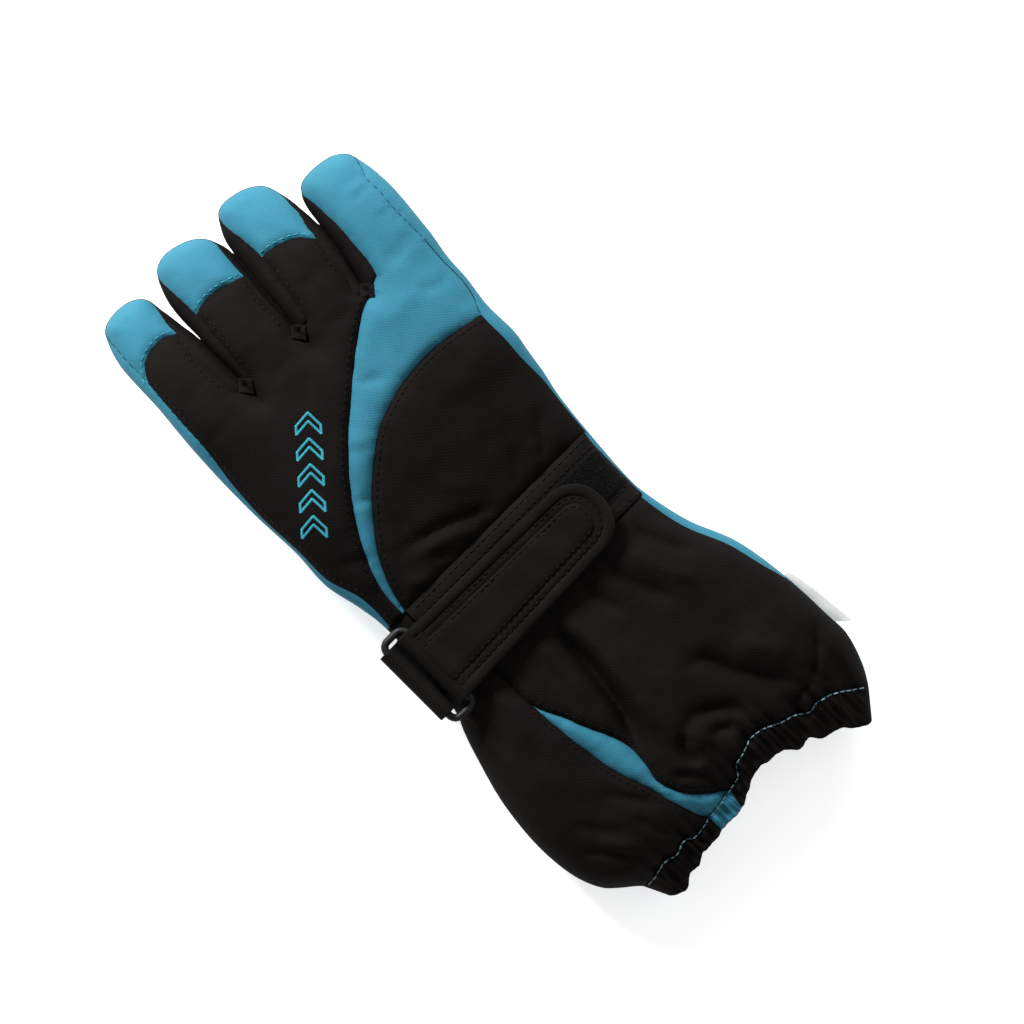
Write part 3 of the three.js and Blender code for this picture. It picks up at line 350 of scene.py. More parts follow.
# Each fold is a line with its height, negative for a valley, and its half width.
TOP_FOLDS = [([(-29, 17), (-22, 15), (-10, 12), (2, 7), (13, 2)], -2.2, 1.7),
    ([(-27, 11), (-12, 8), (2, 1)], 1.5, 2.6), ([(-33, 7), (-28, 3), (-22, 1)], 1.8, 3.2),
    ([(-20, 7), (-14, 3), (-11, 0)], -1.3, 1.4), ([(45, 19), (40, 11), (32, 1)], -1.8, 1.8),
    ([(50, 15), (45, 6), (40, 0)], 1.3, 2.6), ([(30, 15), (25, 8), (20, 1)], -1.1, 1.8),
    ([(37, 12), (33, 6), (28, 0)], 1.0, 2.4), ([(50, 8), (47, 3), (45, 0)], -1.2, 1.5),
    ([(12, 12), (9, 6), (7, 0)], -0.8, 1.8), ([(4, 69), (10, 66), (16, 62)], -1.0, 1.5),
    ([(-25, 41), (-22, 38), (-18, 35)], -1.1, 1.5), ([(-14, 55), (-10, 50), (-5, 49)], -0.8, 1.4),
    ([(44, 77), (50, 73), (57, 72)], -1.0, 1.7), ([(20, 47), (34, 44), (50, 46)], 0.9, 6.0),
    ([(24, 78), (34, 76), (44, 79)], 0.7, 4.0), ([(50, 122), (55, 121), (61, 122)], -0.8, 0.9),
    ([(50, 116), (55, 115), (60, 117)], -0.9, 0.9), ([(52, 105), (56, 104), (60, 105)], -0.7, 0.9),
    ([(50, 64), (54, 62), (58, 63)], -0.8, 1.3), ([(-46, 28), (-38, 24), (-33, 20)], -1.2, 2.0),
    ([(-46, 20), (-41, 15), (-39, 12)], 0.8, 2.2), ([(-49, 92), (-40, 90), (-30, 93)], -0.7, 2.4),
    ([(-16, 93), (-8, 91), (0, 93)], -0.7, 2.4), ([(12, 92), (19, 89), (26, 91)], -0.7, 2.4),
    ([(42, 93), (50, 91), (58, 94)], -0.7, 2.4), ([(-46, 108), (-38, 106), (-30, 109)], -0.5, 2.0),
    ([(-17, 110), (-7, 108), (1, 111)], -0.5, 2.0), ([(13, 108), (20, 106), (29, 108)], -0.5, 2.0),
    ([(-5, 86), (-8, 80), (-14, 74)], -0.8, 2.0), ([(-45, 144), (-38, 146), (-30, 143)], 0.6, 1.3),
    ([(-16, 146), (-9, 148), (1, 144)], 0.6, 1.3), ([(13, 145), (20, 146), (30, 141)], 0.6, 1.3),
    ([(42, 131), (49, 132), (57, 129)], 0.5, 1.3), ([(-5.5, -36), (-6.2, -56), (-8, -71), (-9.7, -81),
    (-13.7, -91), (-17.4, -101)], -8.0, 2.8), ([(0, -36), (-1, -56), (-2, -74), (-4, -90), (-8, -102)],
    3.2, 5.0), ([(-13, -36), (-14, -56), (-16, -72)], 1.5, 3.2),
    ([(22, -34), (25, -50), (33, -68)], -2.0, 2.6), ([(38, -34), (42, -46), (50, -60)], -2.0, 2.3),
    ([(11, -34), (13, -46), (16, -58)], -1.6, 2.2), ([(46, -34), (49, -42), (54, -50)], -1.3, 1.8),
    ([(30, -36), (35, -52), (44, -68)], 1.5, 3.6), ([(0.9, -101), (-3.6, -104), (-4.8, -109),
    (-4, -114)], -3.6, 2.2), ([(8, -97), (5, -104), (5, -112)], 2.4, 3.4),
    ([(-14.9, -107.5), (-9, -113), (-2.4, -121)], -1.8, 1.6),
    ([(-11, -106), (-6, -112), (0, -119)], 1.3, 2.0),
    ([(13, -83), (24, -88), (28, -98), (40, -115), (46, -117)], -3.4, 3.2),
    ([(36, -90), (42, -100), (48, -110)], 2.2, 5.0), ([(46, -117), (43, -121), (38, -121), (32, -122)],
    -2.4, 2.0), ([(4, -108), (10, -109), (15, -114)], -2.2, 2.2),
    ([(-3, -102), (6, -100), (17, -105), (22, -114)], -3.2, 2.6),
    ([(63, -103), (56, -113), (44, -122)], -2.2, 2.4),
    ([(48, -113), (49, -121), (49, -129)], -1.9, 1.7),
    ([(57, -106), (57, -118), (56, -132)], -1.6, 2.0), ([(62, -108), (60, -120), (58, -134)], 0.8, 2.0),
    ([(38, -117), (40, -122), (40, -127)], 1.3, 1.8), ([(-46, -36), (-47, -52), (-52, -66)], -1.8, 2.6),
    ([(-38, -36), (-38, -52), (-42, -70)], 1.4, 3.2),
    ([(-36, -94), (-30, -104), (-22, -114)], -1.5, 2.0),
    ([(-52, -94), (-46, -104), (-38, -114)], -1.2, 2.4),
    ([(-58, -104), (-50, -112), (-42, -124)], -1.9, 2.0),
    ([(-50, -106), (-44, -114), (-37, -124)], 1.4, 2.2),
    ([(-34, -108), (-31, -118), (-28, -127)], -1.5, 1.6),
    ([(-42, -116), (-38, -122), (-35, -128)], -1.2, 1.5),]
PALM_FOLDS = [([(-20, 12), (10, 16), (44, 14)], -1.4, 3.4),
    ([(-14, 40), (14, 46), (46, 40)], -1.2, 3.4), ([(-20, 28), (6, 30), (40, 26)], 0.9, 5.0),
    ([(-30, -44), (-26, -66), (-34, -92)], -1.2, 3.6), ([(24, -44), (30, -66), (26, -94)], -1.2, 3.6),]


def folds(x, y, lines):
    out = np.zeros(x.shape)
    for line, height, width in lines:
        gap, share = distance_to(spline(line, 4.0), x, y)
        ends = smoothstep(0, 0.3, np.minimum(share, 1 - share))
        out += height * ends * np.exp(-((gap / width) ** 1.5))
    return out


def gathers(x, y):
    """Ruffles that the hem elastic draws into the cuff."""
    seam = np.interp(x, HEM_SEAM[:, 0], HEM_SEAM[:, 1])
    above = y - seam
    reach = np.where(above > 0, np.exp(-above / 7.0), 1.0)
    wave = 2 * np.abs(np.sin(x * 0.46 + 0.8 * np.sin(x * 0.29) + 0.03 * above)) ** 0.75 - 1.2
    fine = np.sin(x * 2.1 + 2.0 * np.sin(x * 0.23 + 1.0))
    return reach * (1.8 * wave + 0.6 * fine * np.where(above < 2, 1.0, np.exp(-(above - 2) / 4)))


def surface(x, y, side=1, full=None):
    """Height of the upper (side 1) or lower (side -1) surface at points of the pattern."""
    x, y = np.broadcast_arrays(np.asarray(x, float), np.asarray(y, float))
    full = fullness_at(x, y) if full is None else full
    middle = (TOP(y) + BOTTOM(y)) / 2
    half = (TOP(y) - BOTTOM(y)) / 2
    soft = np.clip(full, 0, 1) ** 2
    if side > 0:
        relief = TOP_FIELD(x, y) + folds(x, y, TOP_FOLDS) + 0.9 * fractal(x, y, 26,
            3.0) + 0.22 * fractal(x, y, 7, 9.0)
    else:
        relief = PALM_FIELD(x, y) + folds(x, y, PALM_FOLDS) + 0.6 * fractal(x, y, 26, 5.0)
        on_table = smoothstep(-40, -60, y)
        relief = np.minimum(relief, relief * (1 - on_table)) * (1 - 0.8 * on_table) - 0.3 * on_table
    cuffed = np.where(y < -60, gathers(x, y), 0.0)
    bulge = (relief + (cuffed if side > 0 else 0.5 * cuffed)) * soft
    height = middle + side * (half * full + bulge)
    return np.maximum(height, 0.15) if side < 0 else height


# meshes
def to_world(points):
    return (np.asarray(points, float) - CENTRE) / 1000


def make_object(name, points, faces, material):
    mesh = bpy.data.meshes.new(name)
    mesh.from_pydata([tuple(p) for p in to_world(points)], [], [tuple(f) for f in faces])
    mesh.validate()
    mesh.materials.append(material)
    mesh.polygons.foreach_set("use_smooth", [True] * len(mesh.polygons))
    mesh.update()
    obj = bpy.data.objects.new(name, mesh)
    bpy.context.scene.collection.objects.link(obj)
    return obj


def inside_polygon(outline, x, y):
    inside = np.zeros(x.shape, bool)
    for (x0, y0), (x1, y1) in zip(outline, np.roll(outline, -1, axis=0)):
        crosses = ((y0 > y) != (y1 > y)) & (x < (x1 - x0) * (y - y0) / (y1 - y0 + 1e-12) + x0)
        inside ^= crosses
    return inside


def fill(outline, spacing=GRID):
    """Triangles over a closed outline, with its own points on the border."""
    keep = np.r_[True, np.linalg.norm(np.diff(outline, axis=0), axis=1) > 1e-4]
    outline = outline[keep]
    if np.linalg.norm(outline[0] - outline[-1]) < 1e-4:
        outline = outline[:-1]
    low, high = outline.min(axis=0), outline.max(axis=0)
    rows = np.arange(low[1], high[1], spacing * 0.87)
    grid = np.vstack([np.column_stack([np.arange(low[0], high[0], spacing) + (i % 2) * spacing / 2,
        np.full(len(np.arange(low[0], high[0], spacing)), y)]) for i, y in enumerate(rows)])
    gap, _ = distance_to(np.vstack([outline, outline[:1]]), grid[:, 0], grid[:, 1])
    grid = grid[inside_polygon(outline, grid[:, 0], grid[:, 1]) & (gap > spacing * 0.75)]
    closed = np.vstack([outline[-1:], outline, outline[:1]])
    across = normals_of(closed)[1:-1]
    turning = np.sign(np.sum(outline[:, 0] * np.roll(outline[:, 1], -1) - outline[:,
        1] * np.roll(outline[:, 0], -1)))
    inner = outline + across * INSET * turning
    gap, _ = distance_to(np.vstack([outline, outline[:1]]), inner[:, 0], inner[:, 1])
    inner = inner[inside_polygon(outline, inner[:, 0], inner[:, 1]) & (gap > INSET * 0.85)]
    grid = np.vstack([grid, inner])
    count = len(outline)
    vectors = [Vector(p) for p in np.vstack([outline, grid])]
    edges = [(i, (i + 1) % count) for i in range(count)]
    points, _, faces, *_ = delaunay_2d_cdt(vectors, edges, [], 1, 1e-5)
    return np.array([tuple(p) for p in points]), [tuple(f) for f in faces]


def chain(*lines):
    """Joins lines head to tail, turning each round where its other end is nearer."""
    out = np.asarray(lines[0], float)
    for line in lines[1:]:
        line = np.asarray(line, float)
        if np.linalg.norm(out[-1] - line[-1]) < np.linalg.norm(out[-1] - line[0]):
            line = line[::-1]
        out = np.vstack([out, line])
    return out


def panel(name, outline, material, side=1, spacing=GRID):
    points, faces = fill(outline, spacing)
    z = surface(points[:, 0], points[:, 1], side)
    if side < 0:
        faces = [f[::-1] for f in faces]
    return make_object(name, np.column_stack([points, z]), faces, material)


def grid_faces(rows, columns, wrap=False, flip=False):
    out = []
    for r in range(rows - 1):
        for c in range(columns if wrap else columns - 1):
            d = (c + 1) % columns
            quad = (r * columns + c, r * columns + d, (r + 1) * columns + d, (r + 1) * columns + c)
            out.append(quad[::-1] if flip else quad)
    return out


def side_wall(name, border, material, levels=7, flip=False):
    """The wall that rolls round a silhouette from its upper seam to its lower seam."""
    t = np.linspace(-1, 1, levels * 2 + 1)
    rows = []
    for level in t:
        side = 1 if level >= 0 else -1
        depth = border.reveals[side] * level**2
        at = border.line + border.inward * depth[:, None]
        z = surface(at[:, 0], at[:, 1], side)
        if level == 0:
            z = (surface(at[:, 0], at[:, 1], 1) + surface(at[:, 0], at[:, 1], -1)) / 2
        rows.append(np.column_stack([at, z]))
    points = np.vstack(rows)
    return make_object(name, points, grid_faces(len(t), len(border.line), flip=flip), material)


def tube(path, radius, sides=8, closed=False):
    """Points and faces of a round tube along a path of 3-D points."""
    path = np.asarray(path, float)
    along = np.gradient(path, axis=0) if not closed else np.roll(path, -1, 0) - np.roll(path, 1, 0)
    along /= np.linalg.norm(along, axis=1)[:, None] + 1e-12
    across = np.cross(along, [0, 0, 1.0])
    across /= np.linalg.norm(across, axis=1)[:, None] + 1e-12
    up = np.cross(across, along)
    angles = np.linspace(0, 2 * np.pi, sides, endpoint=False)
    radius = np.broadcast_to(radius, len(path))
    rings = [p + r * (math.cos(a) * n + math.sin(a) * u) for p, n, u,
        r in zip(path, across, up, radius) for a in angles]
    faces = grid_faces(len(path), sides, wrap=True)
    if closed:
        last = (len(path) - 1) * sides
        faces += [(last + c, last + (c + 1) % sides, (c + 1) % sides, c) for c in range(sides)]
    else:
        faces += [tuple(range(sides))[::-1], tuple((len(path) - 1) * sides + c for c in range(sides))]
    return np.array(rings), faces


class Bundle:
    """Collects many small solids into one mesh."""

    def __init__(self):
        self.points, self.faces, self.count = [], [], 0

    def add(self, points, faces):
        self.points.append(points)
        self.faces += [tuple(i + self.count for i in f) for f in faces]
        self.count += len(points)

    def build(self, name, material):
        return make_object(name, np.vstack(self.points), self.faces, material)


def add_stitches(bundle, middles, directions, length, radius, height):
    """One small arched stitch at each middle, lying along its direction on the cloth."""
    t = np.linspace(-0.5, 0.5, 6)
    arch = np.array([-0.35, 0.12, 0.2, 0.2, 0.12, -0.35])
    girth = radius * np.array([0.55, 0.95, 1.0, 1.0, 0.95, 0.55])
    xy = middles[:, None, :] + directions[:, None, :] * (t * length)[None, :, None]
    z = height(xy[:, :, 0].ravel(), xy[:, :, 1].ravel()).reshape(xy.shape[:2]) + arch[None,
        :] * radius * 2
    for row, heights in zip(xy, z):
        points, faces = tube(np.column_stack([row, heights]), girth, 6)
        bundle.add(points, faces)


def stitch_row(bundle, line, height, pitch=STITCH_PITCH, length=STITCH_LENGTH, radius=THREAD):
    """Running stitches along a line; height(x, y) is the cloth under them."""
    line = resample(np.asarray(line, float), pitch)
    along = np.diff(line, axis=0)
    along /= np.linalg.norm(along, axis=1)[:, None] + 1e-12
    add_stitches(bundle, (line[:-1] + line[1:]) / 2, along, length, radius, height)


def satin_row(bundle, line, height, width, pitch=0.34, radius=0.17):
    """Close stitches across a line."""
    line = resample(np.asarray(line, float), pitch)
    add_stitches(bundle, line, normals_of(line), width, radius, height)


def shifted(line, distance):
    return line + normals_of(line) * distance


# materials
class Nodes:
    """A short way to write a shader: each call adds a node, sets its values and links its inputs."""

    def __init__(self, name):
        self.material = bpy.data.materials.new(name)
        self.material.use_nodes = True
        self.tree = self.material.node_tree
        self.shader = self.tree.nodes["Principled BSDF"]
        self.place = self.add("ShaderNodeTexCoord").outputs["Object"]

    def add(self, kind, inputs=None, **settings):
        node = self.tree.nodes.new(kind)
        for key, value in settings.items():
            setattr(node, key, value)
        for key, value in (inputs or {}).items():
            self.feed(node.inputs[key], value)
        return node

    def feed(self, socket, value):
        if isinstance(value, bpy.types.NodeSocket):
            self.tree.links.new(value, socket)
        else:
            socket.default_value = value

    def math(self, operation, a, b=0.0, c=0.0):
        return self.add("ShaderNodeMath", {0: a, 1: b, 2: c}, operation=operation).outputs[0]

    def noise(self, scale, detail=3.0, roughness=0.5):
        return self.add("ShaderNodeTexNoise", {"Vector": self.place, "Scale": scale, "Detail": detail,
                "Roughness": roughness}).outputs["Fac"]

    def wave(self, direction, period, turn=0.0):
        """Fine parallel ribs across a direction of the pattern, 0 to 1, period in metres."""
        axes = self.add("ShaderNodeSeparateXYZ", {0: self.place})
        x, y, z = axes.outputs
        angle = math.radians(turn)
        along = self.math("ADD", self.math("MULTIPLY", x, math.cos(angle)),
            self.math("MULTIPLY", y, math.sin(angle)))
        if direction == "z":
            along = self.math("ADD", along, self.math("MULTIPLY", z, 0.8))
        turned = self.math("SINE", self.math("MULTIPLY", along, 2 * math.pi / period))
        return self.math("MULTIPLY_ADD", turned, 0.5, 0.5)

    def ramp(self, value, low, high, dark, light):
        node = self.add("ShaderNodeMapRange", {"Value": value, "From Min": low, "From Max": high})
        mix = self.add("ShaderNodeMix", {"Factor": node.outputs[0], "A": (*dark, 1), "B": (*light, 1)},
            data_type="RGBA")
        return mix.outputs["Result"]

    def finish(self, colour, roughness, height=None, distance=0.0002, strength=0.6, **values):
        self.feed(self.shader.inputs["Base Color"], colour)
        self.feed(self.shader.inputs["Roughness"], roughness)
        for key, value in values.items():
            self.feed(self.shader.inputs[key.replace("_", " ")], value)
        if height is not None:
            bump = self.add("ShaderNodeBump", {"Height": height, "Distance": distance,
                "Strength": strength})
            self.feed(self.shader.inputs["Normal"], bump.outputs[0])
        return self.material


def twill(name, dark, light, roughness, specular, period=0.0011, distance=0.00012):
    """Softshell cloth: a fine diagonal weave, mottled a little, with a soft sheen."""
    nodes = Nodes(name)
    ribs = nodes.wave("xy", period, 52)
    cross = nodes.wave("xy", period * 0.8, -34)
    weave = nodes.math("MULTIPLY_ADD", cross, 0.45, nodes.math("MULTIPLY", ribs, 0.55))
    cloudy = nodes.noise(42, 4, 0.6)
    grain = nodes.noise(1900, 2, 0.6)
    mottle = nodes.math("MULTIPLY_ADD", weave, 0.12, nodes.math("MULTIPLY", cloudy, 0.65))
    shade = nodes.math("MULTIPLY_ADD", grain, 0.35, mottle)
    colour = nodes.ramp(shade, 0.3, 0.85, dark, light)
    rough = nodes.math("MULTIPLY_ADD", cloudy, 0.12, roughness)
    height = nodes.math("MULTIPLY_ADD", grain, 0.4, weave)
    return nodes.finish(colour, rough, height, distance, 0.5, Specular_IOR_Level=specular)


def grip_cloth(name):
    """Palm cloth: near-black with a fine raised square grid set diagonally."""
    nodes = Nodes(name)
    period = 0.0034
    first = nodes.math("POWER", nodes.wave("xy", period, 45), 9.0)
    second = nodes.math("POWER", nodes.wave("xy", period, -45), 9.0)
    lines = nodes.math("MAXIMUM", first, second)
    grain = nodes.noise(1500, 3, 0.6)
    shade = nodes.math("MULTIPLY_ADD", lines, 0.6, nodes.math("MULTIPLY", grain, 0.4))
    colour = nodes.ramp(shade, 0.1, 0.9, (0.006, 0.006, 0.0065), (0.045, 0.044, 0.046))
    height = nodes.math("MULTIPLY_ADD", grain, 0.25, lines)
    return nodes.finish(colour, nodes.math("MULTIPLY_ADD", grain, 0.2, 0.42), height, 0.00025, 0.8,
            Specular_IOR_Level=0.4)


def webbing(name):
    """Close plain-woven strap cloth, matte."""
    nodes = Nodes(name)
    ribs = nodes.wave("xy", 0.0007, 90)
    picks = nodes.wave("xy", 0.0007, 0)
    weave = nodes.math("MULTIPLY", ribs, picks)
    grain = nodes.noise(1100, 3, 0.6)
    cloudy = nodes.noise(70, 3, 0.5)
    shade = nodes.math("MULTIPLY_ADD", grain, 0.5, nodes.math("MULTIPLY", cloudy, 0.5))
    colour = nodes.ramp(shade, 0.3, 0.8, (0.0032, 0.0027, 0.0024), (0.0090, 0.0074, 0.0065))
    height = nodes.math("MULTIPLY_ADD", grain, 0.6, weave)
    return nodes.finish(colour, nodes.math("MULTIPLY_ADD", grain, 0.15, 0.75), height, 0.00007, 0.5,
            Specular_IOR_Level=0.07)


def pile(name, dark, light, scale=1300.0, distance=0.0005):
    """Loop pile or fleece: tangled fibres without any shine."""
    nodes = Nodes(name)
    cells = nodes.add("ShaderNodeTexVoronoi", {"Vector": nodes.place,
        "Scale": scale}).outputs["Distance"]
    tangle = nodes.noise(scale * 0.6, 4, 0.7)
    shade = nodes.math("MULTIPLY_ADD", cells, 0.5, nodes.math("MULTIPLY", tangle, 0.6))
    colour = nodes.ramp(shade, 0.2, 0.8, dark, light)
    return nodes.finish(colour, nodes.math("MULTIPLY_ADD", tangle, 0.1, 0.88), shade, distance, 1.0,
            Sheen_Weight=0.03, Specular_IOR_Level=0.06)


def plastic(name):
    nodes = Nodes(name)
    grain = nodes.noise(1200, 2, 0.5)
    scuffs = nodes.noise(180, 5, 0.7)
    colour = nodes.ramp(scuffs, 0.35, 0.8, (0.0022, 0.0022, 0.0023), (0.006, 0.0058, 0.0056))
    return nodes.finish(colour, nodes.math("MULTIPLY_ADD", scuffs, 0.25, 0.38), grain, 0.00004, 0.5,
            Specular_IOR_Level=0.3)


def reflective(name):
    """Silver tape: packed glass beads over a grey woven back."""
    nodes = Nodes(name)
    beads = nodes.add("ShaderNodeTexVoronoi", {"Vector": nodes.place,
        "Scale": 2600.0}).outputs["Distance"]
    cloudy = nodes.noise(90, 3, 0.5)
    colour = nodes.ramp(cloudy, 0.3, 0.75, (0.36, 0.37, 0.36), (0.52, 0.53, 0.52))
    return nodes.finish(colour, nodes.math("MULTIPLY_ADD", cloudy, 0.15, 0.3), beads, 0.00005, 0.5,
            Metallic=0.35)


def thread(name, dark, light, specular=0.4):
    nodes = Nodes(name)
    twist = nodes.wave("z", 0.0005, 30)
    fibres = nodes.noise(2400, 2, 0.5)
    shade = nodes.math("MULTIPLY_ADD", twist, 0.4, nodes.math("MULTIPLY", fibres, 0.6))
    colour = nodes.ramp(shade, 0.2, 0.9, dark, light)
    return nodes.finish(colour, nodes.math("MULTIPLY_ADD", fibres, 0.2, 0.45), shade, 0.00005, 0.6,
            Specular_IOR_Level=specular)


BLACK = twill("black_softshell", (0.0034, 0.0028, 0.0025), (0.0092, 0.0074, 0.0064), 0.8, 0.05)
BLUE = twill("blue_softshell", (0.018, 0.122, 0.182), (0.033, 0.182, 0.262), 0.7, 0.14, 0.0009, 0.00009)
GRIP = grip_cloth("grip_palm")
STRAP_CLOTH = webbing("strap_webbing")
LOOPS = pile("loop_pile", (0.0008, 0.0007, 0.0007), (0.0045, 0.004, 0.0038))
FLEECE = pile("lining_fleece", (0.006, 0.006, 0.0065), (0.02, 0.02, 0.022), 700.0, 0.0008)
PLASTIC = plastic("ring_plastic")
SILVER = reflective("reflective_tape")
BLUE_THREAD = thread("embroidery_thread", (0.012, 0.21, 0.29), (0.04, 0.46, 0.56))
# black thread, coloured darker than the black cloth: its own colour plus painted shade for the shadow
# pits round the stitches
BLACK_THREAD_AND_SHADE = thread("black_thread_and_shade", (0.0012, 0.001, 0.001), (0.005, 0.0042, 0.0038), 0.1)
PALE_THREAD = thread("pale_thread", (0.10, 0.20, 0.26), (0.22, 0.36, 0.42))
ELASTIC = pile("elastic_tape", (0.02, 0.02, 0.022), (0.05, 0.05, 0.055), 500.0, 0.0003)


# placing helpers
def place(obj, body, nodes=()):
    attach(obj, body)
    if nodes:
        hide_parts(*nodes)
    return obj


def bend(obj, nodes=()):
    if nodes:
        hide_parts(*nodes)
    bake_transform(obj)
    return obj


def bend_finger(obj, nodes=()):
    return bend(obj, nodes)


def bend_cuff(obj, nodes=()):
    return bend(obj, nodes)


# hand
def hand_panels():
    left, right = INDEX_BORDER.seam(1), PINKY_BORDER.seam(1)
    back = chain(left, level_line(left[-1][0], KNUCKLE_SEAM[-1][0], SPLIT_Y, 60), KNUCKLE_SEAM,
        level_line(KNUCKLE_SEAM[0][0], left[0][0], HAND_BASE_Y))
    place(panel("back_panel_cloth", back, BLACK), "hand", ["back_panel"])
    right_low = right[right[:, 1] <= OUTER_SEAM[-1][1]]
    right_high = right[right[:, 1] >= OUTER_SEAM[-1][1]]
    corner = right_high[:1]
    swoosh_top = level_line(KNUCKLE_SEAM[-1][0], right[-1][0], SPLIT_Y, 60)
    swoosh = chain(KNUCKLE_SEAM, swoosh_top, right_high, OUTER_SEAM,
        level_line(OUTER_SEAM[0][0], KNUCKLE_SEAM[0][0], HAND_BASE_Y)[:2])
    place(panel("swoosh_cloth", swoosh, BLUE), "hand", ["swoosh_panel"])
    outer = chain(OUTER_SEAM, corner, right_low, level_line(right[0][0], OUTER_SEAM[0][0], HAND_BASE_Y))
    place(panel("outer_back_cloth", outer, BLACK), "hand", ["outer_back_panel"])
    for name, border, node, flip in (("index_side_cloth", INDEX_BORDER, "index_side_panel", False),
            ("pinky_side_cloth", PINKY_BORDER, "pinky_side_panel", True)):
        place(side_wall(name, border, BLUE, flip=flip), "hand", [node])

    palm_left, palm_right = INDEX_BORDER.seam(-1), PINKY_BORDER.seam(-1)
    seam = PALM_SEAM.copy()
    seam[0] = (np.interp(seam[0][1], palm_left[:, 1], palm_left[:, 0]), seam[0][1])
    seam[-1] = (np.interp(seam[-1][1], palm_right[:, 1], palm_right[:, 0]), seam[-1][1])
    left_y, right_y = seam[0][1], seam[-1][1]
    palm_top = level_line(palm_left[-1][0], palm_right[-1][0], SPLIT_Y, 60)
    upper = chain(palm_left[palm_left[:, 1] > left_y], palm_top,
        palm_right[palm_right[:, 1] > right_y], seam)
    heel = chain(palm_left[palm_left[:, 1] < left_y], seam, palm_right[palm_right[:, 1] < right_y],
        level_line(palm_right[0][0], palm_left[0][0], HAND_BASE_Y))
    place(panel("palm_upper_cloth", upper, GRIP, -1), "hand", ["palm_upper"])
    place(panel("palm_heel_cloth", heel, GRIP, -1), "hand", ["palm_heel"])


def seam_shadow_cord(bundle, line, side=1):
    """The closed join itself: a fine dark line of thread down in the groove, which also stands in for
    the shadow in the seam's gap as painted shade.
    """
    line = resample(line, 0.8)
    z = surface(line[:, 0], line[:, 1], side) + side * 0.05
    bundle.add(*tube(np.column_stack([line, z]), 0.17, 6))


def hand_stitches():
    # dark seam cords: the thread of the joins, plus painted shade for the shadow in their gaps
    shadow_cords = Bundle()
    pinky = PINKY_BORDER.seam(1)
    seam_shadow_cord(shadow_cords, pinky[pinky[:, 1] > 54])
    seam_shadow_cord(shadow_cords, PALM_SEAM, -1)
    place(shadow_cords.build("hand_seam_shadow_cord", BLACK_THREAD_AND_SHADE), "hand")
    rows = Bundle()
    stitch_row(rows, shifted(KNUCKLE_SEAM, 2.0), surface)
    stitch_row(rows, shifted(OUTER_SEAM, -2.0), surface)
    left = INDEX_BORDER.seam(1)
    stitch_row(rows, shifted(left, -1.8), surface)
    place(rows.build("hand_topstitch", BLACK_THREAD_AND_SHADE), "hand")
    below = lambda x, y: surface(x, y, -1)
    palm = Bundle()
    for offset in (1.6, 3.6):
        stitch_row(palm, shifted(PALM_SEAM, -offset), below)
    place(palm.build("palm_topstitch", BLACK_THREAD_AND_SHADE), "hand")


def crotch_tucks():
    """The small square folds where each pair of finger gussets ends."""
    for name, valley, y in zip(FINGERS[1:], VALLEYS[1:], CROTCHES[1:4]):
        across, along = np.meshgrid(np.linspace(-1, 1, 15), np.linspace(-1, 1, 15))
        reach = np.maximum(np.abs(across), np.abs(along))
        x_at = valley(np.array(y)) + (across - along) * 1.7
        y_at = y - 0.2 + (across + along) * 2.0
        crease = 0.7 * np.exp(-(((across - along) / 0.25) ** 2)) + 0.4 * np.exp(
            -(((across + along) / 0.3) ** 2))
        lift = (1 - reach**3) * 0.8 - crease * (1 - reach) - 0.5
        height = np.maximum(surface(x_at - 2.6, y_at),
            surface(x_at + 2.6, y_at)) * 0.6 + 0.4 * surface(x_at, y_at)
        points = np.column_stack([x_at.ravel(), y_at.ravel(), (height + lift).ravel()])
        place(make_object(f"{name}_crotch_tuck", points, grid_faces(15, 15), BLACK), "hand")


def motif():
    """A run of outlined chevrons in satin thread: a plain pattern, not a word or a mark."""
    start, end = np.array([-43.0, 40.5]), np.array([-12.5, 74.5])
    along = (end - start) / np.linalg.norm(end - start)
    across = np.array([-along[1], along[0]])
    corners = [(-1.6, -4.4), (3.0, 0), (-1.6, 4.4), (-4.6, 4.4), (0, 0), (-4.6, -4.4)]
    bundle = Bundle()
    count = 5
    for i in range(count):
        centre = start + (end - start) * (i + 0.5) / count
        shape = [centre + along * a + across * c for a, c in corners]
        for a, b in zip(shape, shape[1:] + shape[:1]):
            satin_row(bundle, np.linspace(a, b, 12), surface, 1.0)
    place(bundle.build("embroidery", BLUE_THREAD), "hand", ["embroidered_motif"])


def finger_panels(name):
    border = FINGER_BORDERS[name]
    tip = int(np.argmax(border.line[:, 1]))
    cloth = BLUE if name == "pinky" else BLACK
    for side in (1, -1):
        seam = border.seam(side)
        base = level_line(seam[-1][0], seam[0][0], SPLIT_Y, 20)
        if side < 0:
            outline = chain(seam, base)
            obj = panel(f"{name}_palm_cloth", outline, GRIP, -1, spacing=1.9)
            bend_finger(obj, [f"{name}_palm"])
            continue
        if name not in CAP_SEAMS:
            obj = panel(f"{name}_back_cloth", chain(seam, base), cloth, spacing=1.9)
            bend_finger(obj, [f"{name}_back"])
            continue
        cut = CAP_SEAMS[name].copy()
        first = int(np.argmin(np.linalg.norm(seam[:tip] - cut[0], axis=1)))
        last = tip + int(np.argmin(np.linalg.norm(seam[tip:] - cut[-1], axis=1)))
        cut[0], cut[-1] = seam[first], seam[last]
        back = chain(seam[: first + 1], cut, seam[last:], base)
        cap = chain(cut, seam[first : last + 1][::-1])
        bend_finger(panel(f"{name}_back_cloth", back, BLACK, spacing=1.9),
            [f"{name}_back"])
        bend_finger(panel(f"{name}_cap_cloth", cap, BLUE, spacing=1.7),
            [f"{name}_cap"])
        rows = Bundle()
        stitch_row(rows, shifted(cut, 1.5), surface, radius=0.17)
        bend_finger(rows.build(f"{name}_cap_stitch", BLUE_THREAD))


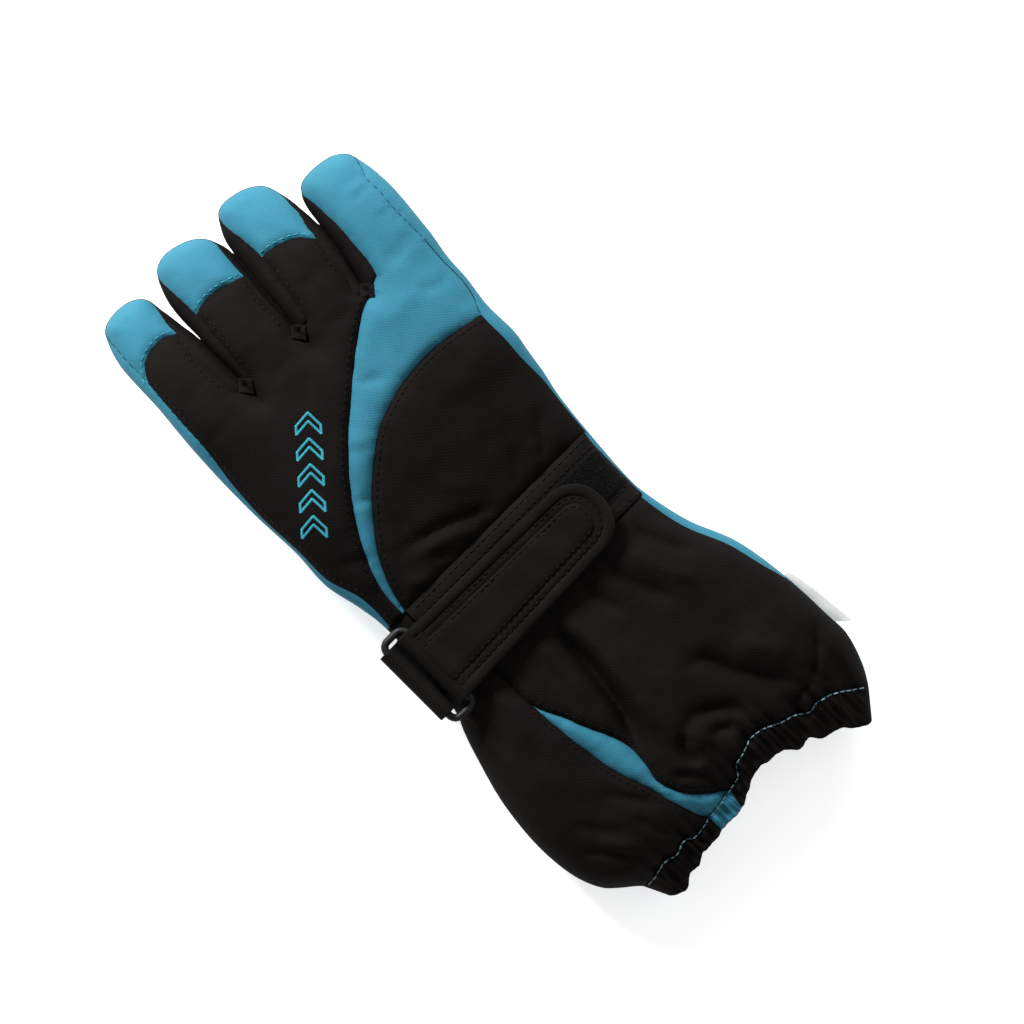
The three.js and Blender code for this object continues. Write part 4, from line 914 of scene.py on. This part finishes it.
def finger_walls(name):
    border = FINGER_BORDERS[name]
    count = len(border.line)
    tip = int(np.argmax(border.line[:, 1]))
    keep = np.arange(count)
    if name == "index":
        cut = int(np.argmin(np.abs(border.line[:tip, 0] + 46.6) + (border.line[:tip, 1] < 130) * 99))
        strip, gusset = keep <= cut, keep >= cut
    elif name == "pinky":
        cut = tip + int(np.argmin(np.abs(border.line[tip:, 1] - 131)))
        strip, gusset = keep >= cut, keep <= cut
    else:
        strip, gusset = None, keep >= 0
    if strip is not None:
        obj = side_wall(f"{name}_strip_cloth", border.part(strip), BLUE)
        bend_finger(obj, [f"{name}_side_strip"])
    obj = side_wall(f"{name}_gusset_cloth", border.part(gusset), BLACK)
    bend_finger(obj, [f"{name}_gusset"])
    # dark seam cords: the thread of the joins, plus painted shade for the shadow in their gaps
    shadow_cords = Bundle()
    shown = border.line[:, 1] > SPLIT_Y + 1.5
    seam_shadow_cord(shadow_cords, border.seam(1)[shown])
    seam_shadow_cord(shadow_cords, border.seam(-1)[shown], -1)
    bend_finger(shadow_cords.build(f"{name}_seam_shadow_cord", BLACK_THREAD_AND_SHADE))
    if name != "pinky":
        rows = Bundle()
        seam = border.seam(1)
        left = seam[:tip][seam[:tip][:, 1] > 101]
        right = seam[tip:][seam[tip:][:, 1] > 101]
        limit = CAP_SEAMS[name]
        left = left[left[:, 1] < limit[0][1] - 1]
        right = right[right[:, 1] < limit[-1][1] - 1]
        stitch_row(rows, shifted(left, -1.8), surface)
        stitch_row(rows, shifted(right, -1.8), surface)
        bend_finger(rows.build(f"{name}_topstitch", BLACK_THREAD_AND_SHADE))


# thumb
THUMB = {"left": -52.0, "right": -15.5, "back": 2.0, "tip": 83.0, "top": 17.2, "bottom": 0.4}
THUMB_HALF = (THUMB["right"] - THUMB["left"]) / 2
THUMB_MIDDLE = (THUMB["right"] + THUMB["left"]) / 2
THUMB_GRIP_INSET = 4.2    # the grip panel starts this far inside the outline
THUMB_ROOT = np.array([-33.0, 22.0])


def thumb_outline():
    """Closed line round the flat thumb: tip, left side, heel, right side."""
    low, high = THUMB["back"] + THUMB_HALF, THUMB["tip"] - THUMB_HALF
    angles = np.linspace(0, np.pi, 30)
    end = np.column_stack([THUMB_MIDDLE + THUMB_HALF * np.cos(angles),
        high + THUMB_HALF * np.sin(angles)])
    heel = np.column_stack([THUMB_MIDDLE - THUMB_HALF * np.cos(angles),
        low - THUMB_HALF * np.sin(angles)])
    count = 24
    left = np.column_stack([np.full(count, THUMB["left"]), np.linspace(high, low, count + 2)[1:-1]])
    right = np.column_stack([np.full(count, THUMB["right"]), np.linspace(low, high, count + 2)[1:-1]])
    return np.vstack([end, left, heel, right])


def thumb_ring(outline, depth, side):
    """The thumb's outline moved inward by depth, on its upper or lower surface."""
    closed = np.vstack([outline[-1:], outline, outline[:1]])
    at = outline + normals_of(closed)[1:-1] * depth
    centre_z = (THUMB["top"] + THUMB["bottom"]) / 2
    half_z = (THUMB["top"] - THUMB["bottom"]) / 2
    crease = 0.5 * np.sin(at[:, 1] * 0.33 + 1.0) * np.exp(-((at[:, 1] - 40) / 14) ** 2)
    roll = puff(np.full(len(at), depth), THUMB_HALF)
    z = centre_z + side * (half_z * roll + crease * min(depth / 4, 1))
    return np.column_stack([at, np.maximum(z, 0.2)])


def closed_shell(name, rings, cloth, flip_end=False):
    """Rings joined by faces, with one face over the last ring."""
    points = np.vstack(rings)
    faces = grid_faces(len(rings), len(rings[0]), wrap=True)
    end = tuple(range(len(points) - len(rings[0]), len(points)))
    faces.append(end[::-1] if flip_end else end)
    return make_object(name, points, faces, cloth)


def thumb_collar():
    """The rucked cloth where the thumb leaves the palm."""
    count = 48
    turn = np.linspace(0, 2 * np.pi, count, endpoint=False)
    ruck = 0.35 * np.sin(turn * 11)
    rim = []
    for height, reach in ((21.5, 17.0), (19.5, 16.4), (17.5, 16.0), (15.0, 16.6)):
        x = THUMB_ROOT[0] + (reach + ruck) * np.cos(turn)
        y = THUMB_ROOT[1] + (reach + ruck) * np.sin(turn)
        rim.append(np.column_stack([x, y, np.full(count, height)]))
    faces = grid_faces(4, count, wrap=True, flip=True)
    collar = make_object("thumb_root_cloth", np.vstack(rim), faces, BLACK)
    place(collar, "thumb", ())


def thumb_stitches(outline):
    rows = Bundle()
    for depth in (6.2, 8.0):
        line = thumb_ring(outline, depth, -1)
        line = line[(line[:, 0] > THUMB_MIDDLE + 2) & (line[:, 1] > 20)]
        line = line[np.argsort(line[:, 1])]
        height = lambda x, y, line=line: np.interp(y, line[:, 1], line[:, 2]) - 0.15
        stitch_row(rows, line[:, :2], height)
    place(rows.build("thumb_topstitch", BLACK_THREAD_AND_SHADE), "thumb")


def thumb():
    outline = thumb_outline()
    depths = np.array([0, 0.15, 0.6, 1.4, 2.6, THUMB_GRIP_INSET, 6.2, 9.0, 12.0, 15.0])
    rings = [thumb_ring(outline, d, 1) for d in depths[depths <= THUMB_GRIP_INSET][::-1]]
    rings += [thumb_ring(outline, d, -1) for d in depths[1:]]
    back = closed_shell("thumb_back_cloth", rings, BLUE)
    place(back, "thumb", ["thumb_back"])
    inner = [thumb_ring(outline, d, 1) for d in depths[depths >= THUMB_GRIP_INSET]]
    grip = closed_shell("thumb_grip_cloth", inner, GRIP, flip_end=True)
    place(grip, "thumb", ["thumb_palm"])
    thumb_collar()
    thumb_stitches(outline)


# wrist, strap and ring
BAND = {"left": -39.0, "top": -0.3, "bottom": -30.5}
INNER_BAR = np.array([-44.0, 37.8])
OUTER_BAR = np.array([-54.0, 37.8])


def wrist_gather():
    y = np.linspace(HAND_BASE_Y, PALM_SPLIT_Y, 26)
    t = np.linspace(0, 1, 150)
    share = (1 - np.cos(np.pi * t)) / 2
    rows = []
    edge_rows = []
    for level in y:
        left, right = LEFT(level), RIGHT(level)
        x = left + (right - left) * share
        line = np.full(x.shape, level)
        z = surface(x, line, -1)
        ruck = 0.7 * np.sin(x * 1.15 + 1.2 * np.sin(x * 0.3)) * math.sin(math.pi * (level + 33.2) / 33)
        row = np.column_stack([x, line, z - ruck * 0.6])
        up = []
        for edge, direction, reach in ((left, 1, 9.0), (right, -1, 1.5)):
            depth = np.linspace(1, 0, 8)[:-1] ** 2 * reach
            xs = edge + direction * depth
            ys = np.full(xs.shape, level)
            up.append(np.column_stack([xs, ys, surface(xs, ys, 1) - 1.3]))
        rows.append(np.vstack([row, up[1][::-1]]))
        edge_rows.append(np.vstack([up[0], row[:1]]))
    points = np.vstack(rows)
    obj = make_object("wrist_gather_cloth", points, grid_faces(len(rows), len(rows[0])), BLUE)
    place(obj, "hand", ["wrist_gather"])
    faces = grid_faces(len(edge_rows), len(edge_rows[0]))
    edge = make_object("wrist_edge_cloth", np.vstack(edge_rows), faces, BLACK)
    place(edge, "hand", ())


def slab(name, outline, lift, thickness, material, spacing=GRID, height=surface):
    """A thin closed layer that follows the upper surface, with its edges turned down."""
    points, faces = fill(outline, spacing)
    gap, _ = distance_to(np.vstack([outline, outline[:1]]), points[:, 0], points[:, 1])
    z = height(points[:, 0], points[:, 1]) + lift
    top = np.column_stack([points, z + thickness * (1 - 0.35 * np.exp(-gap * 2.5))])
    base = np.column_stack([points, z])
    count = len(points)
    border = {}
    for face in faces:
        for a, b in zip(face, face[1:] + face[:1]):
            border[(a, b)] = border.get((b, a)) is None
            if (b, a) in border:
                border[(b, a)] = border[(a, b)] = False
    rim = [(b, a, a + count, b + count) for (a, b), free in border.items() if free]
    back = [tuple(i + count for i in f[::-1]) for f in faces]
    return make_object(name, np.vstack([top, base]), faces + back + rim, material)


def rectangle(x0, x1, y0, y1, step=1.5):
    across = np.linspace(x0, x1, int(abs(x1 - x0) / step) + 2)
    along = np.linspace(y0, y1, int(abs(y1 - y0) / step) + 2)
    return np.vstack([np.column_stack([across, np.full(across.shape, y0)])[:-1],
            np.column_stack([np.full(along.shape, x1), along])[:-1],
            np.column_stack([across[::-1], np.full(across.shape, y1)])[:-1],
            np.column_stack([np.full(along.shape, x0), along[::-1]])[:-1]])


def band_and_tape():
    band = slab("landing_band_cloth", rectangle(BAND["left"], 50.2, BAND["bottom"], BAND["top"]), 0.0,
        0.9, STRAP_CLOTH)
    place(band, "hand", ["landing_band"])
    tape = slab("loop_tape_pile", rectangle(BAND["left"] + 2, 49.6, -23, -7), 1.0, 1.1, LOOPS, 1.4)
    place(tape, "hand", ["loop_tape"])
    fibres = Bundle()
    rng = np.random.default_rng(7)
    count = 1500
    x = rng.uniform(26, 49.4, count)
    y = rng.uniform(-22.8, -7.2, count)
    base = surface(x, y) + 2.0
    turn = rng.uniform(0, 2 * np.pi, count)
    reach = rng.uniform(0.35, 0.9, count)
    for px, py, pz, angle, size in zip(x, y, base, turn, reach):
        t = np.linspace(0, np.pi, 5)
        loop = np.column_stack([px + math.cos(angle) * np.cos(t) * size * 0.5,
            py + math.sin(angle) * np.cos(t) * size * 0.5, pz - 0.1 + np.sin(t) * size * 0.6])
        points, faces = tube(loop, 0.055, 4)
        fibres.add(points, faces)
    place(fibres.build("loop_fibres", LOOPS), "hand")
    rows = Bundle()
    lifted = lambda x, y: surface(x, y) + 0.95
    for y_row in (BAND["top"] - 1.8, -5.4, -24.6, BAND["bottom"] + 1.6):
        line = np.column_stack([np.linspace(-36, 49.4, 60), np.full(60, y_row)])
        stitch_row(rows, line, lifted)
    place(rows.build("band_stitch", BLACK_THREAD_AND_SHADE), "hand")


def strap_centre(x):
    """Height of the strap's middle surface, resting on the band and the tape."""
    x = np.asarray(x, float)
    flat = surface(x, np.full(x.shape, STRAP["middle"])) + 4.0
    ease = smoothstep(-34, -42, x)
    return flat * (1 - ease) + (INNER_BAR[1] + 2.7) * ease


def sweep(path, half_widths, middle, thickness):
    """A strip of cloth along a path of (x, z) points, closed all round with soft edges."""
    along = np.gradient(path, axis=0)
    along /= np.linalg.norm(along, axis=1)[:, None]
    up = np.column_stack([along[:, 1], -along[:, 0]])
    across = np.r_[-1, -0.985, np.linspace(-0.95, 0.95, 15), 0.985, 1]
    swell = np.where(np.abs(across) > 0.99, 0.4, 1.0) * thickness / 2
    rows = []
    for (x, z), n, half in zip(path, up, half_widths):
        y = middle + across * half
        over = np.column_stack([x + n[0] * swell, y, z + n[1] * swell])
        under = np.column_stack([x - n[0] * swell, y, z - n[1] * swell])
        rows.append(np.vstack([over, under[::-1]]))
    count = len(rows[0])
    faces = grid_faces(len(rows), count, wrap=True, flip=True)
    faces += [tuple(range(count)), tuple((len(rows) - 1) * count + c for c in range(count))[::-1]]
    return np.vstack(rows), faces


STRAP = {"middle": -20.9, "end": 39.0, "end_half": 14.0, "thickness": 2.0, "fold_middle": -21.5,
    "fold_half": 15.8, "fold_x": -43.5}
BINDING = 4.2             # width of the strap's bound edge
INLAY = 7.0               # how far in its raised middle starts


def strap_edge():
    """The strap's free edge from one end of the fold round the tip to the other."""
    middle, half = STRAP["middle"], STRAP["end_half"]
    bend_x = STRAP["end"] - half
    turn = np.linspace(-np.pi / 2, np.pi / 2, 40)
    corner = 2.2
    tip = np.column_stack([np.sign(np.cos(turn)) * np.abs(np.cos(turn)) ** (2 / corner),
        np.sign(np.sin(turn)) * np.abs(np.sin(turn)) ** (2 / corner)]) * half
    first, last = [(STRAP["fold_x"], STRAP["fold_middle"] + side * STRAP["fold_half"]) for side in (-1,
        1)]
    return resample(np.vstack([first, tip + (bend_x, middle), last]), 1.3)


def strap_relief(depth):
    """Bound edge, two stitched grooves and a raised middle, by the distance from the edge."""
    groove = -0.5 * np.exp(-(((depth - BINDING) / 0.45) ** 2)) - 0.4 * np.exp(
        -(((depth - INLAY) / 0.45) ** 2))
    return groove + 0.25 * smoothstep(BINDING, BINDING - 1, depth) + 0.45 * smoothstep(INLAY,
            INLAY + 1.4, depth)


def strap():
    """The tail: a padded, bound strap, rounded at its end and folded round the ring's inner bar."""
    edge = strap_edge()
    inward = normals_of(edge)
    half_thick = STRAP["thickness"] / 2
    depths = np.array([0, 0.25, 0.9, 2.2, 3.5, 3.9, 4.2, 4.6, 5.6, 6.6, 7.0, 7.4, 8.4, 10.5, 12.6,
        13.6])
    rounding = np.clip(1 - (1 - np.clip(depths / 0.9, 0, 1)) ** 2, 0, 1) ** 0.5
    rows = []
    for side, steps in ((-1, (15, 8, 2, 1)), (1, range(len(depths)))):
        for i in steps:
            at = edge + inward * depths[i]
            lie = 0.3 * np.sin(at[:, 0] * 0.17 + 1) + 0.22 * np.sin(at[:, 0] * 0.43 + at[:, 1] * 0.2)
            z = strap_centre(at[:, 0]) + side * half_thick * rounding[i] + lie * 0.5
            if side > 0:
                z = z + strap_relief(depths[i]) * rounding[i]
            rows.append(np.column_stack([at, z]))
    count = len(edge)
    faces = grid_faces(len(rows), count)
    for row, flip in ((0, True), (len(rows) - 1, False)):
        for c in range(count // 2 - 1):
            quad = tuple(row * count + i for i in (c, c + 1, count - 2 - c, count - 1 - c))
            faces.append(quad[::-1] if flip else quad)
    obj = make_object("strap_cloth", np.vstack(rows), faces, STRAP_CLOTH)
    place(obj, "strap", ["strap_tail"])
    fold = spline([(-40, 40.5), (-43.5, 40.5), (-46.3, 40.3), (-47.8, 38.8), (-47.8, 36.9),
        (-46.2, 35.4), (-43, 35.0), (-40.5, 35.4)], 0.8)
    points, faces = sweep(fold, np.full(len(fold), STRAP["fold_half"]), STRAP["fold_middle"], 1.8)
    place(make_object("strap_fold_cloth", points, faces, STRAP_CLOTH), "strap")
    rows = Bundle()
    for depth in (BINDING + 0.5, INLAY + 0.9):
        line = edge + inward * depth
        level = strap_relief(np.array(depth)) + half_thick
        stitch_row(rows, line, lambda x, y, level=level: strap_centre(x) + level + 0.05 + 0 * y)
    place(rows.build("strap_stitch", BLACK_THREAD_AND_SHADE), "strap")
    hook = slab("hook_tape_cloth", rectangle(6, 33, -27, -15), 2.3, 0.6, LOOPS, 2.5)
    place(hook, "strap", ["hook_tape"])


def ring_and_tab():
    half_x, half_y, corner, bar = 5.0, 18.5, 2.8, 1.4
    centre = (INNER_BAR + OUTER_BAR) / 2
    loop = []
    for cx, cy, start in ((1, 1, 0), (-1, 1, 90), (-1, -1, 180), (1, -1, 270)):
        for a in np.radians(np.linspace(start, start + 90, 9)):
            loop.append((centre[0] + cx * (half_x - corner) + corner * math.cos(a),
                -22 + cy * (half_y - corner) + corner * math.sin(a)))
    loop = np.array(loop)
    loop = resample(np.vstack([loop, loop[:1]]), 0.9)[:-1]
    path = np.column_stack([loop, np.full(len(loop), centre[1])])
    points, faces = tube(path, bar, 14, closed=True)
    place(make_object("ring_loop", points, faces, PLASTIC), "strap_ring",
        ["strap_ring"])
    wrap = spline([(-55.2, 31.5), (-54.2, 34.4), (-52.4, 35.2), (-51.2, 36.6), (-51.1, 38.6),
        (-52.3, 40.2), (-54, 40.7), (-56.1, 39.8), (-56.9, 37.4), (-56.6, 33.5), (-55.4, 28),
        (-53.8, 23), (-51.8, 18.5), (-49.5, 15)], 0.8)
    points, faces = sweep(wrap, np.full(len(wrap), 15.4), -21.5, 1.0)
    place(make_object("ring_tab_cloth", points, faces, STRAP_CLOTH), "hand",
        ["ring_tab"])


# cuff
def cuff():
    left, right = CUFF_LEFT.seam(1), CUFF_RIGHT.seam(1)
    hem = HEM_SEAM.copy()
    hem[0], hem[-1] = left[0], right[0]
    meet_outer = int(np.argmin(np.linalg.norm(hem - WEDGE_OUTER[-1], axis=1)))
    meet_inner = int(np.argmin(np.linalg.norm(hem - WEDGE_INNER[-1], axis=1)))
    outer_line, inner_line = WEDGE_OUTER.copy(), WEDGE_INNER.copy()
    outer_line[-1], inner_line[-1] = hem[meet_outer], hem[meet_inner]
    apex = int(np.argmin(np.linalg.norm(outer_line - inner_line[0], axis=1)))
    inner_line[0] = outer_line[apex]
    outer = chain(outer_line, hem[meet_outer:], right,
        level_line(right[-1][0], outer_line[0][0], WRIST_SPLIT_Y))
    inner = chain(outer_line[: apex + 1], inner_line, hem[: meet_inner + 1], left,
        level_line(left[-1][0], outer_line[0][0], WRIST_SPLIT_Y))
    wedge = chain(outer_line[apex:], hem[meet_inner : meet_outer + 1], inner_line)
    bend_cuff(panel("cuff_outer_cloth", outer, BLACK, spacing=1.5),
        ["cuff_back_outer"])
    bend_cuff(panel("cuff_inner_cloth", inner, BLACK, spacing=1.6),
        ["cuff_back_inner"])
    bend_cuff(panel("cuff_wedge_cloth", wedge, BLUE, spacing=1.7), ["cuff_wedge"])
    bend_cuff(side_wall("cuff_left_edge_cloth", CUFF_LEFT, BLACK), ())
    bend_cuff(side_wall("cuff_right_edge_cloth", CUFF_RIGHT, BLUE, flip=True), ())
    palm_left, palm_right = CUFF_LEFT.seam(-1), CUFF_RIGHT.seam(-1)
    centre = np.column_stack([np.zeros(70), np.linspace(np.interp(0, hem[:, 0], hem[:, 1]),
        WRIST_SPLIT_Y, 70)])
    low = hem.copy()
    low[0], low[-1] = palm_left[0], palm_right[0]
    inner_low = chain(centre, level_line(0, palm_left[-1][0], WRIST_SPLIT_Y), palm_left,
        np.vstack([low[low[:, 0] < -0.5], centre[:1]]))
    outer_low = chain(centre, level_line(0, palm_right[-1][0], WRIST_SPLIT_Y), palm_right,
        np.vstack([centre[:1], low[low[:, 0] > 0.5]]))
    bend_cuff(panel("cuff_palm_inner_cloth", inner_low, BLUE, -1, spacing=2.6),
        ["cuff_palm_inner"])
    bend_cuff(panel("cuff_palm_outer_cloth", outer_low, BLUE, -1, spacing=2.6),
        ["cuff_palm_outer"])
    rows = Bundle()
    stitch_row(rows, shifted(outer_line[: apex + 1], 1.8), surface)
    stitch_row(rows, shifted(outer_line, 1.8)[apex:], surface)
    stitch_row(rows, shifted(inner_line, -1.8), surface)
    bend_cuff(rows.build("cuff_topstitch", BLACK_THREAD_AND_SHADE))


def hem_point(share, v, side, inset):
    """A point of the hem: share runs across it, v from its seam (0) to its edge (1)."""
    seam_x = HEM_SEAM[0, 0] + (HEM_SEAM[-1, 0] - HEM_SEAM[0, 0]) * share
    edge_x = HEM_EDGE[0, 0] + (HEM_EDGE[-1, 0] - HEM_EDGE[0, 0]) * share
    seam_y = np.interp(seam_x, HEM_SEAM[:, 0], HEM_SEAM[:, 1])
    edge_y = np.interp(edge_x, HEM_EDGE[:, 0], HEM_EDGE[:, 1])
    x = seam_x + (edge_x - seam_x) * v
    y = seam_y + (edge_y - seam_y) * v
    depth = np.minimum(share, 1 - share) * 100
    blend = np.clip(v, 0, 1)
    full = fullness_at(x, y) * (1 - blend) + puff(depth, HAND_ROLL) * blend
    full = np.where((share <= 0) | (share >= 1), 0, full)
    z = surface(x, y, side, full)
    ruffle = 2.1 * np.sin(x * 0.92 + 1.2 + 1.5 * np.sin(x * 0.29)) * math.sin(
        math.pi * blend) * np.minimum(depth / 8, 1)
    middle = (TOP(y) + BOTTOM(y)) / 2
    z = middle + (z + side * ruffle - middle) * (1 - inset / 9.0)
    return np.column_stack([x - (x - 5.0) * inset / 52, y, np.maximum(z, 0.25 + 0.5 * inset)])


HEM_BLUE = (0.316, 0.428)      # the share of the hem's width where the blue wedge runs out


def hem():
    """The gathered hem: three pieces on the back, the middle one blue, and one on the palm side."""
    ends = [0.0, *HEM_BLUE, 1.0]
    outward = np.linspace(0, 1, 10)
    inward = np.linspace(1, -0.35, 10)[1:]
    pieces = [
        ("hem_back_cloth_0", 1, ends[0], ends[1], BLACK, "black_softshell", ["hem_back"]),
        ("hem_back_cloth_1", 1, ends[1], ends[2], BLUE, "blue_softshell", []),
        ("hem_back_cloth_2", 1, ends[2], ends[3], BLACK, "black_softshell", []),
        ("hem_palm_cloth", -1, 0.0, 1.0, BLUE, "blue_softshell", ["hem_palm"]),
    ]
    for name, side, first, last, cloth, slot, nodes in pieces:
        share = np.linspace(first, last, int(240 * (last - first)))
        share = np.unique(np.r_[share, first + (last - first) * (1 - np.cos(np.linspace(0, np.pi,
            60))) / 2])
        rows = [hem_point(share, v, side, 0.0) for v in outward]
        rows += [hem_point(share, v, side, 2.4) for v in inward]
        obj = make_object(name, np.vstack(rows), grid_faces(len(rows), len(share), flip=side < 0),
            cloth)
        place(obj, "cuff", nodes)
    rows = Bundle()
    line = hem_point(np.linspace(0.015, 0.985, 160), 0.07, 1, 0.0)
    height = lambda x, y: np.interp(x, line[:, 0], line[:, 2]) + 0.2
    stitch_row(rows, line[:, :2], height, pitch=2.5, length=2.0, radius=0.25)
    place(rows.build("hem_stitch", PALE_THREAD), "cuff")


def cuff_lining():
    """Fleece from just inside the mouth up to the wrist."""
    share = (1 - np.cos(np.pi * np.linspace(0, 1, 90))) / 2
    seam_x = HEM_SEAM[0, 0] + (HEM_SEAM[-1, 0] - HEM_SEAM[0, 0]) * share
    seam_y = np.interp(seam_x, HEM_SEAM[:, 0], HEM_SEAM[:, 1])
    rings = []
    for v in (0.85, 0.6, 0.3, 0.05):
        rings.append([hem_point(share, v, side, 3.4) for side in (1, -1)])
    for w in np.linspace(0.06, 1, 18):
        y = seam_y + (LINING_TOP_Y - seam_y) * w
        x = LEFT(y) + 2.6 + (RIGHT(y) - LEFT(y) - 5.2) * share
        middle = (TOP(y) + BOTTOM(y)) / 2
        rings.append([np.column_stack([x, y, middle + (surface(x, y,
            side) - middle) * 0.82]) for side in (1, -1)])
    rings = [np.vstack([top, low[::-1][1:-1]]) for top, low in rings]
    faces = grid_faces(len(rings), len(rings[0]), wrap=True)
    obj = make_object("cuff_lining_fleece", np.vstack(rings), faces, FLEECE)
    place(obj, "cuff", ["cuff_lining", "hem_elastic"])


def label():
    """A folded tab of reflective tape held in the little-finger seam of the cuff."""
    t = np.linspace(0, 1, 24)
    inner = np.column_stack([RIGHT(-88 - 24 * t) - 0.8, -88 - 24 * t])
    outer = np.column_stack([67.9 + 4.2 * t**0.6, -88 - 29.5 * t])
    rows = []
    for r in np.linspace(0, 1, 7):
        at = inner + (outer - inner) * r
        rows.append(np.column_stack([at, 19.5 - 4.5 * r**1.5 + 0.6 * np.sin(t * 7) * r]))
    lower = [row - np.array([0.1, 0, 0.7]) for row in rows]
    loop = rows + lower[::-1]
    faces = grid_faces(len(loop) + 1, len(t), flip=True)
    obj = make_object("side_label_tape", np.vstack(loop + loop[:1]), faces, SILVER)
    place(obj, "cuff", ["side_label"])


# stage
def stage():
    mesh = bpy.data.meshes.new("floor")
    size = 3.0
    mesh.from_pydata([(-size, -size, 0), (size, -size, 0), (size, size, 0), (-size, size, 0)], [],
        [(0, 1, 2, 3)])
    floor = bpy.data.objects.new("floor", mesh)
    nodes = Nodes("pale_floor")
    tone = nodes.ramp(nodes.noise(3, 2, 0.5), 0.2, 0.8, (0.90, 0.90, 0.90), (0.93, 0.93, 0.93))
    mesh.materials.append(nodes.finish(tone, 0.9, Emission_Color=(1, 1, 1, 1), Emission_Strength=0.62))
    bpy.context.scene.collection.objects.link(floor)

    world = bpy.data.worlds.new("studio")
    world.use_nodes = True
    world.node_tree.nodes["Background"].inputs["Color"].default_value = (1, 1, 1, 1)
    world.node_tree.nodes["Background"].inputs["Strength"].default_value = 0.32
    bpy.context.scene.world = world
    for name, place_at, size, power in (("key", (0.15, 1.3, 0.8), 0.4, 40),
            ("fill", (1.2, -0.3, 1.3), 1.4, 4), ("rim", (1.3, 0.7, 0.5), 0.7, 9)):
        light = bpy.data.lights.new(name, "AREA")
        light.size = size
        light.energy = power
        lamp = bpy.data.objects.new(name, light)
        lamp.location = place_at
        lamp.rotation_euler = (-Vector(place_at)).to_track_quat("-Z", "Y").to_euler()
        bpy.context.scene.collection.objects.link(lamp)
    bpy.context.scene.view_settings.view_transform = "Standard"


def camera():
    data = bpy.data.cameras.new("camera")
    data.lens = 100
    data.sensor_width = 36
    width = 0.3656
    eye = bpy.data.objects.new("camera", data)
    target = to_world((12.6, -2.3, 30))
    eye.location = Vector(target) + Vector((0, 0, width * data.lens / data.sensor_width))
    eye.rotation_euler = (0, 0, -math.pi / 4)
    bpy.context.scene.collection.objects.link(eye)
    bpy.context.scene.camera = eye


def carried_over():
    """CAD pieces that stay inside the shell get finished materials too."""
    for node, cloth in (("hand_lining", FLEECE), ("thumb_lining", FLEECE), ("wrist_elastic", ELASTIC),
            *((f"{name}_lining", FLEECE) for name in OUTLINES)):
        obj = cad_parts[node]
        for material_slot in obj.material_slots:
            material_slot.material = cloth


camera()
stage()
hand_panels()
hand_stitches()
crotch_tucks()
motif()
for finger in OUTLINES:
    finger_panels(finger)
    finger_walls(finger)
thumb()
wrist_gather()
band_and_tape()
strap()
ring_and_tab()
cuff()
hem()
cuff_lining()
label()
carried_over()
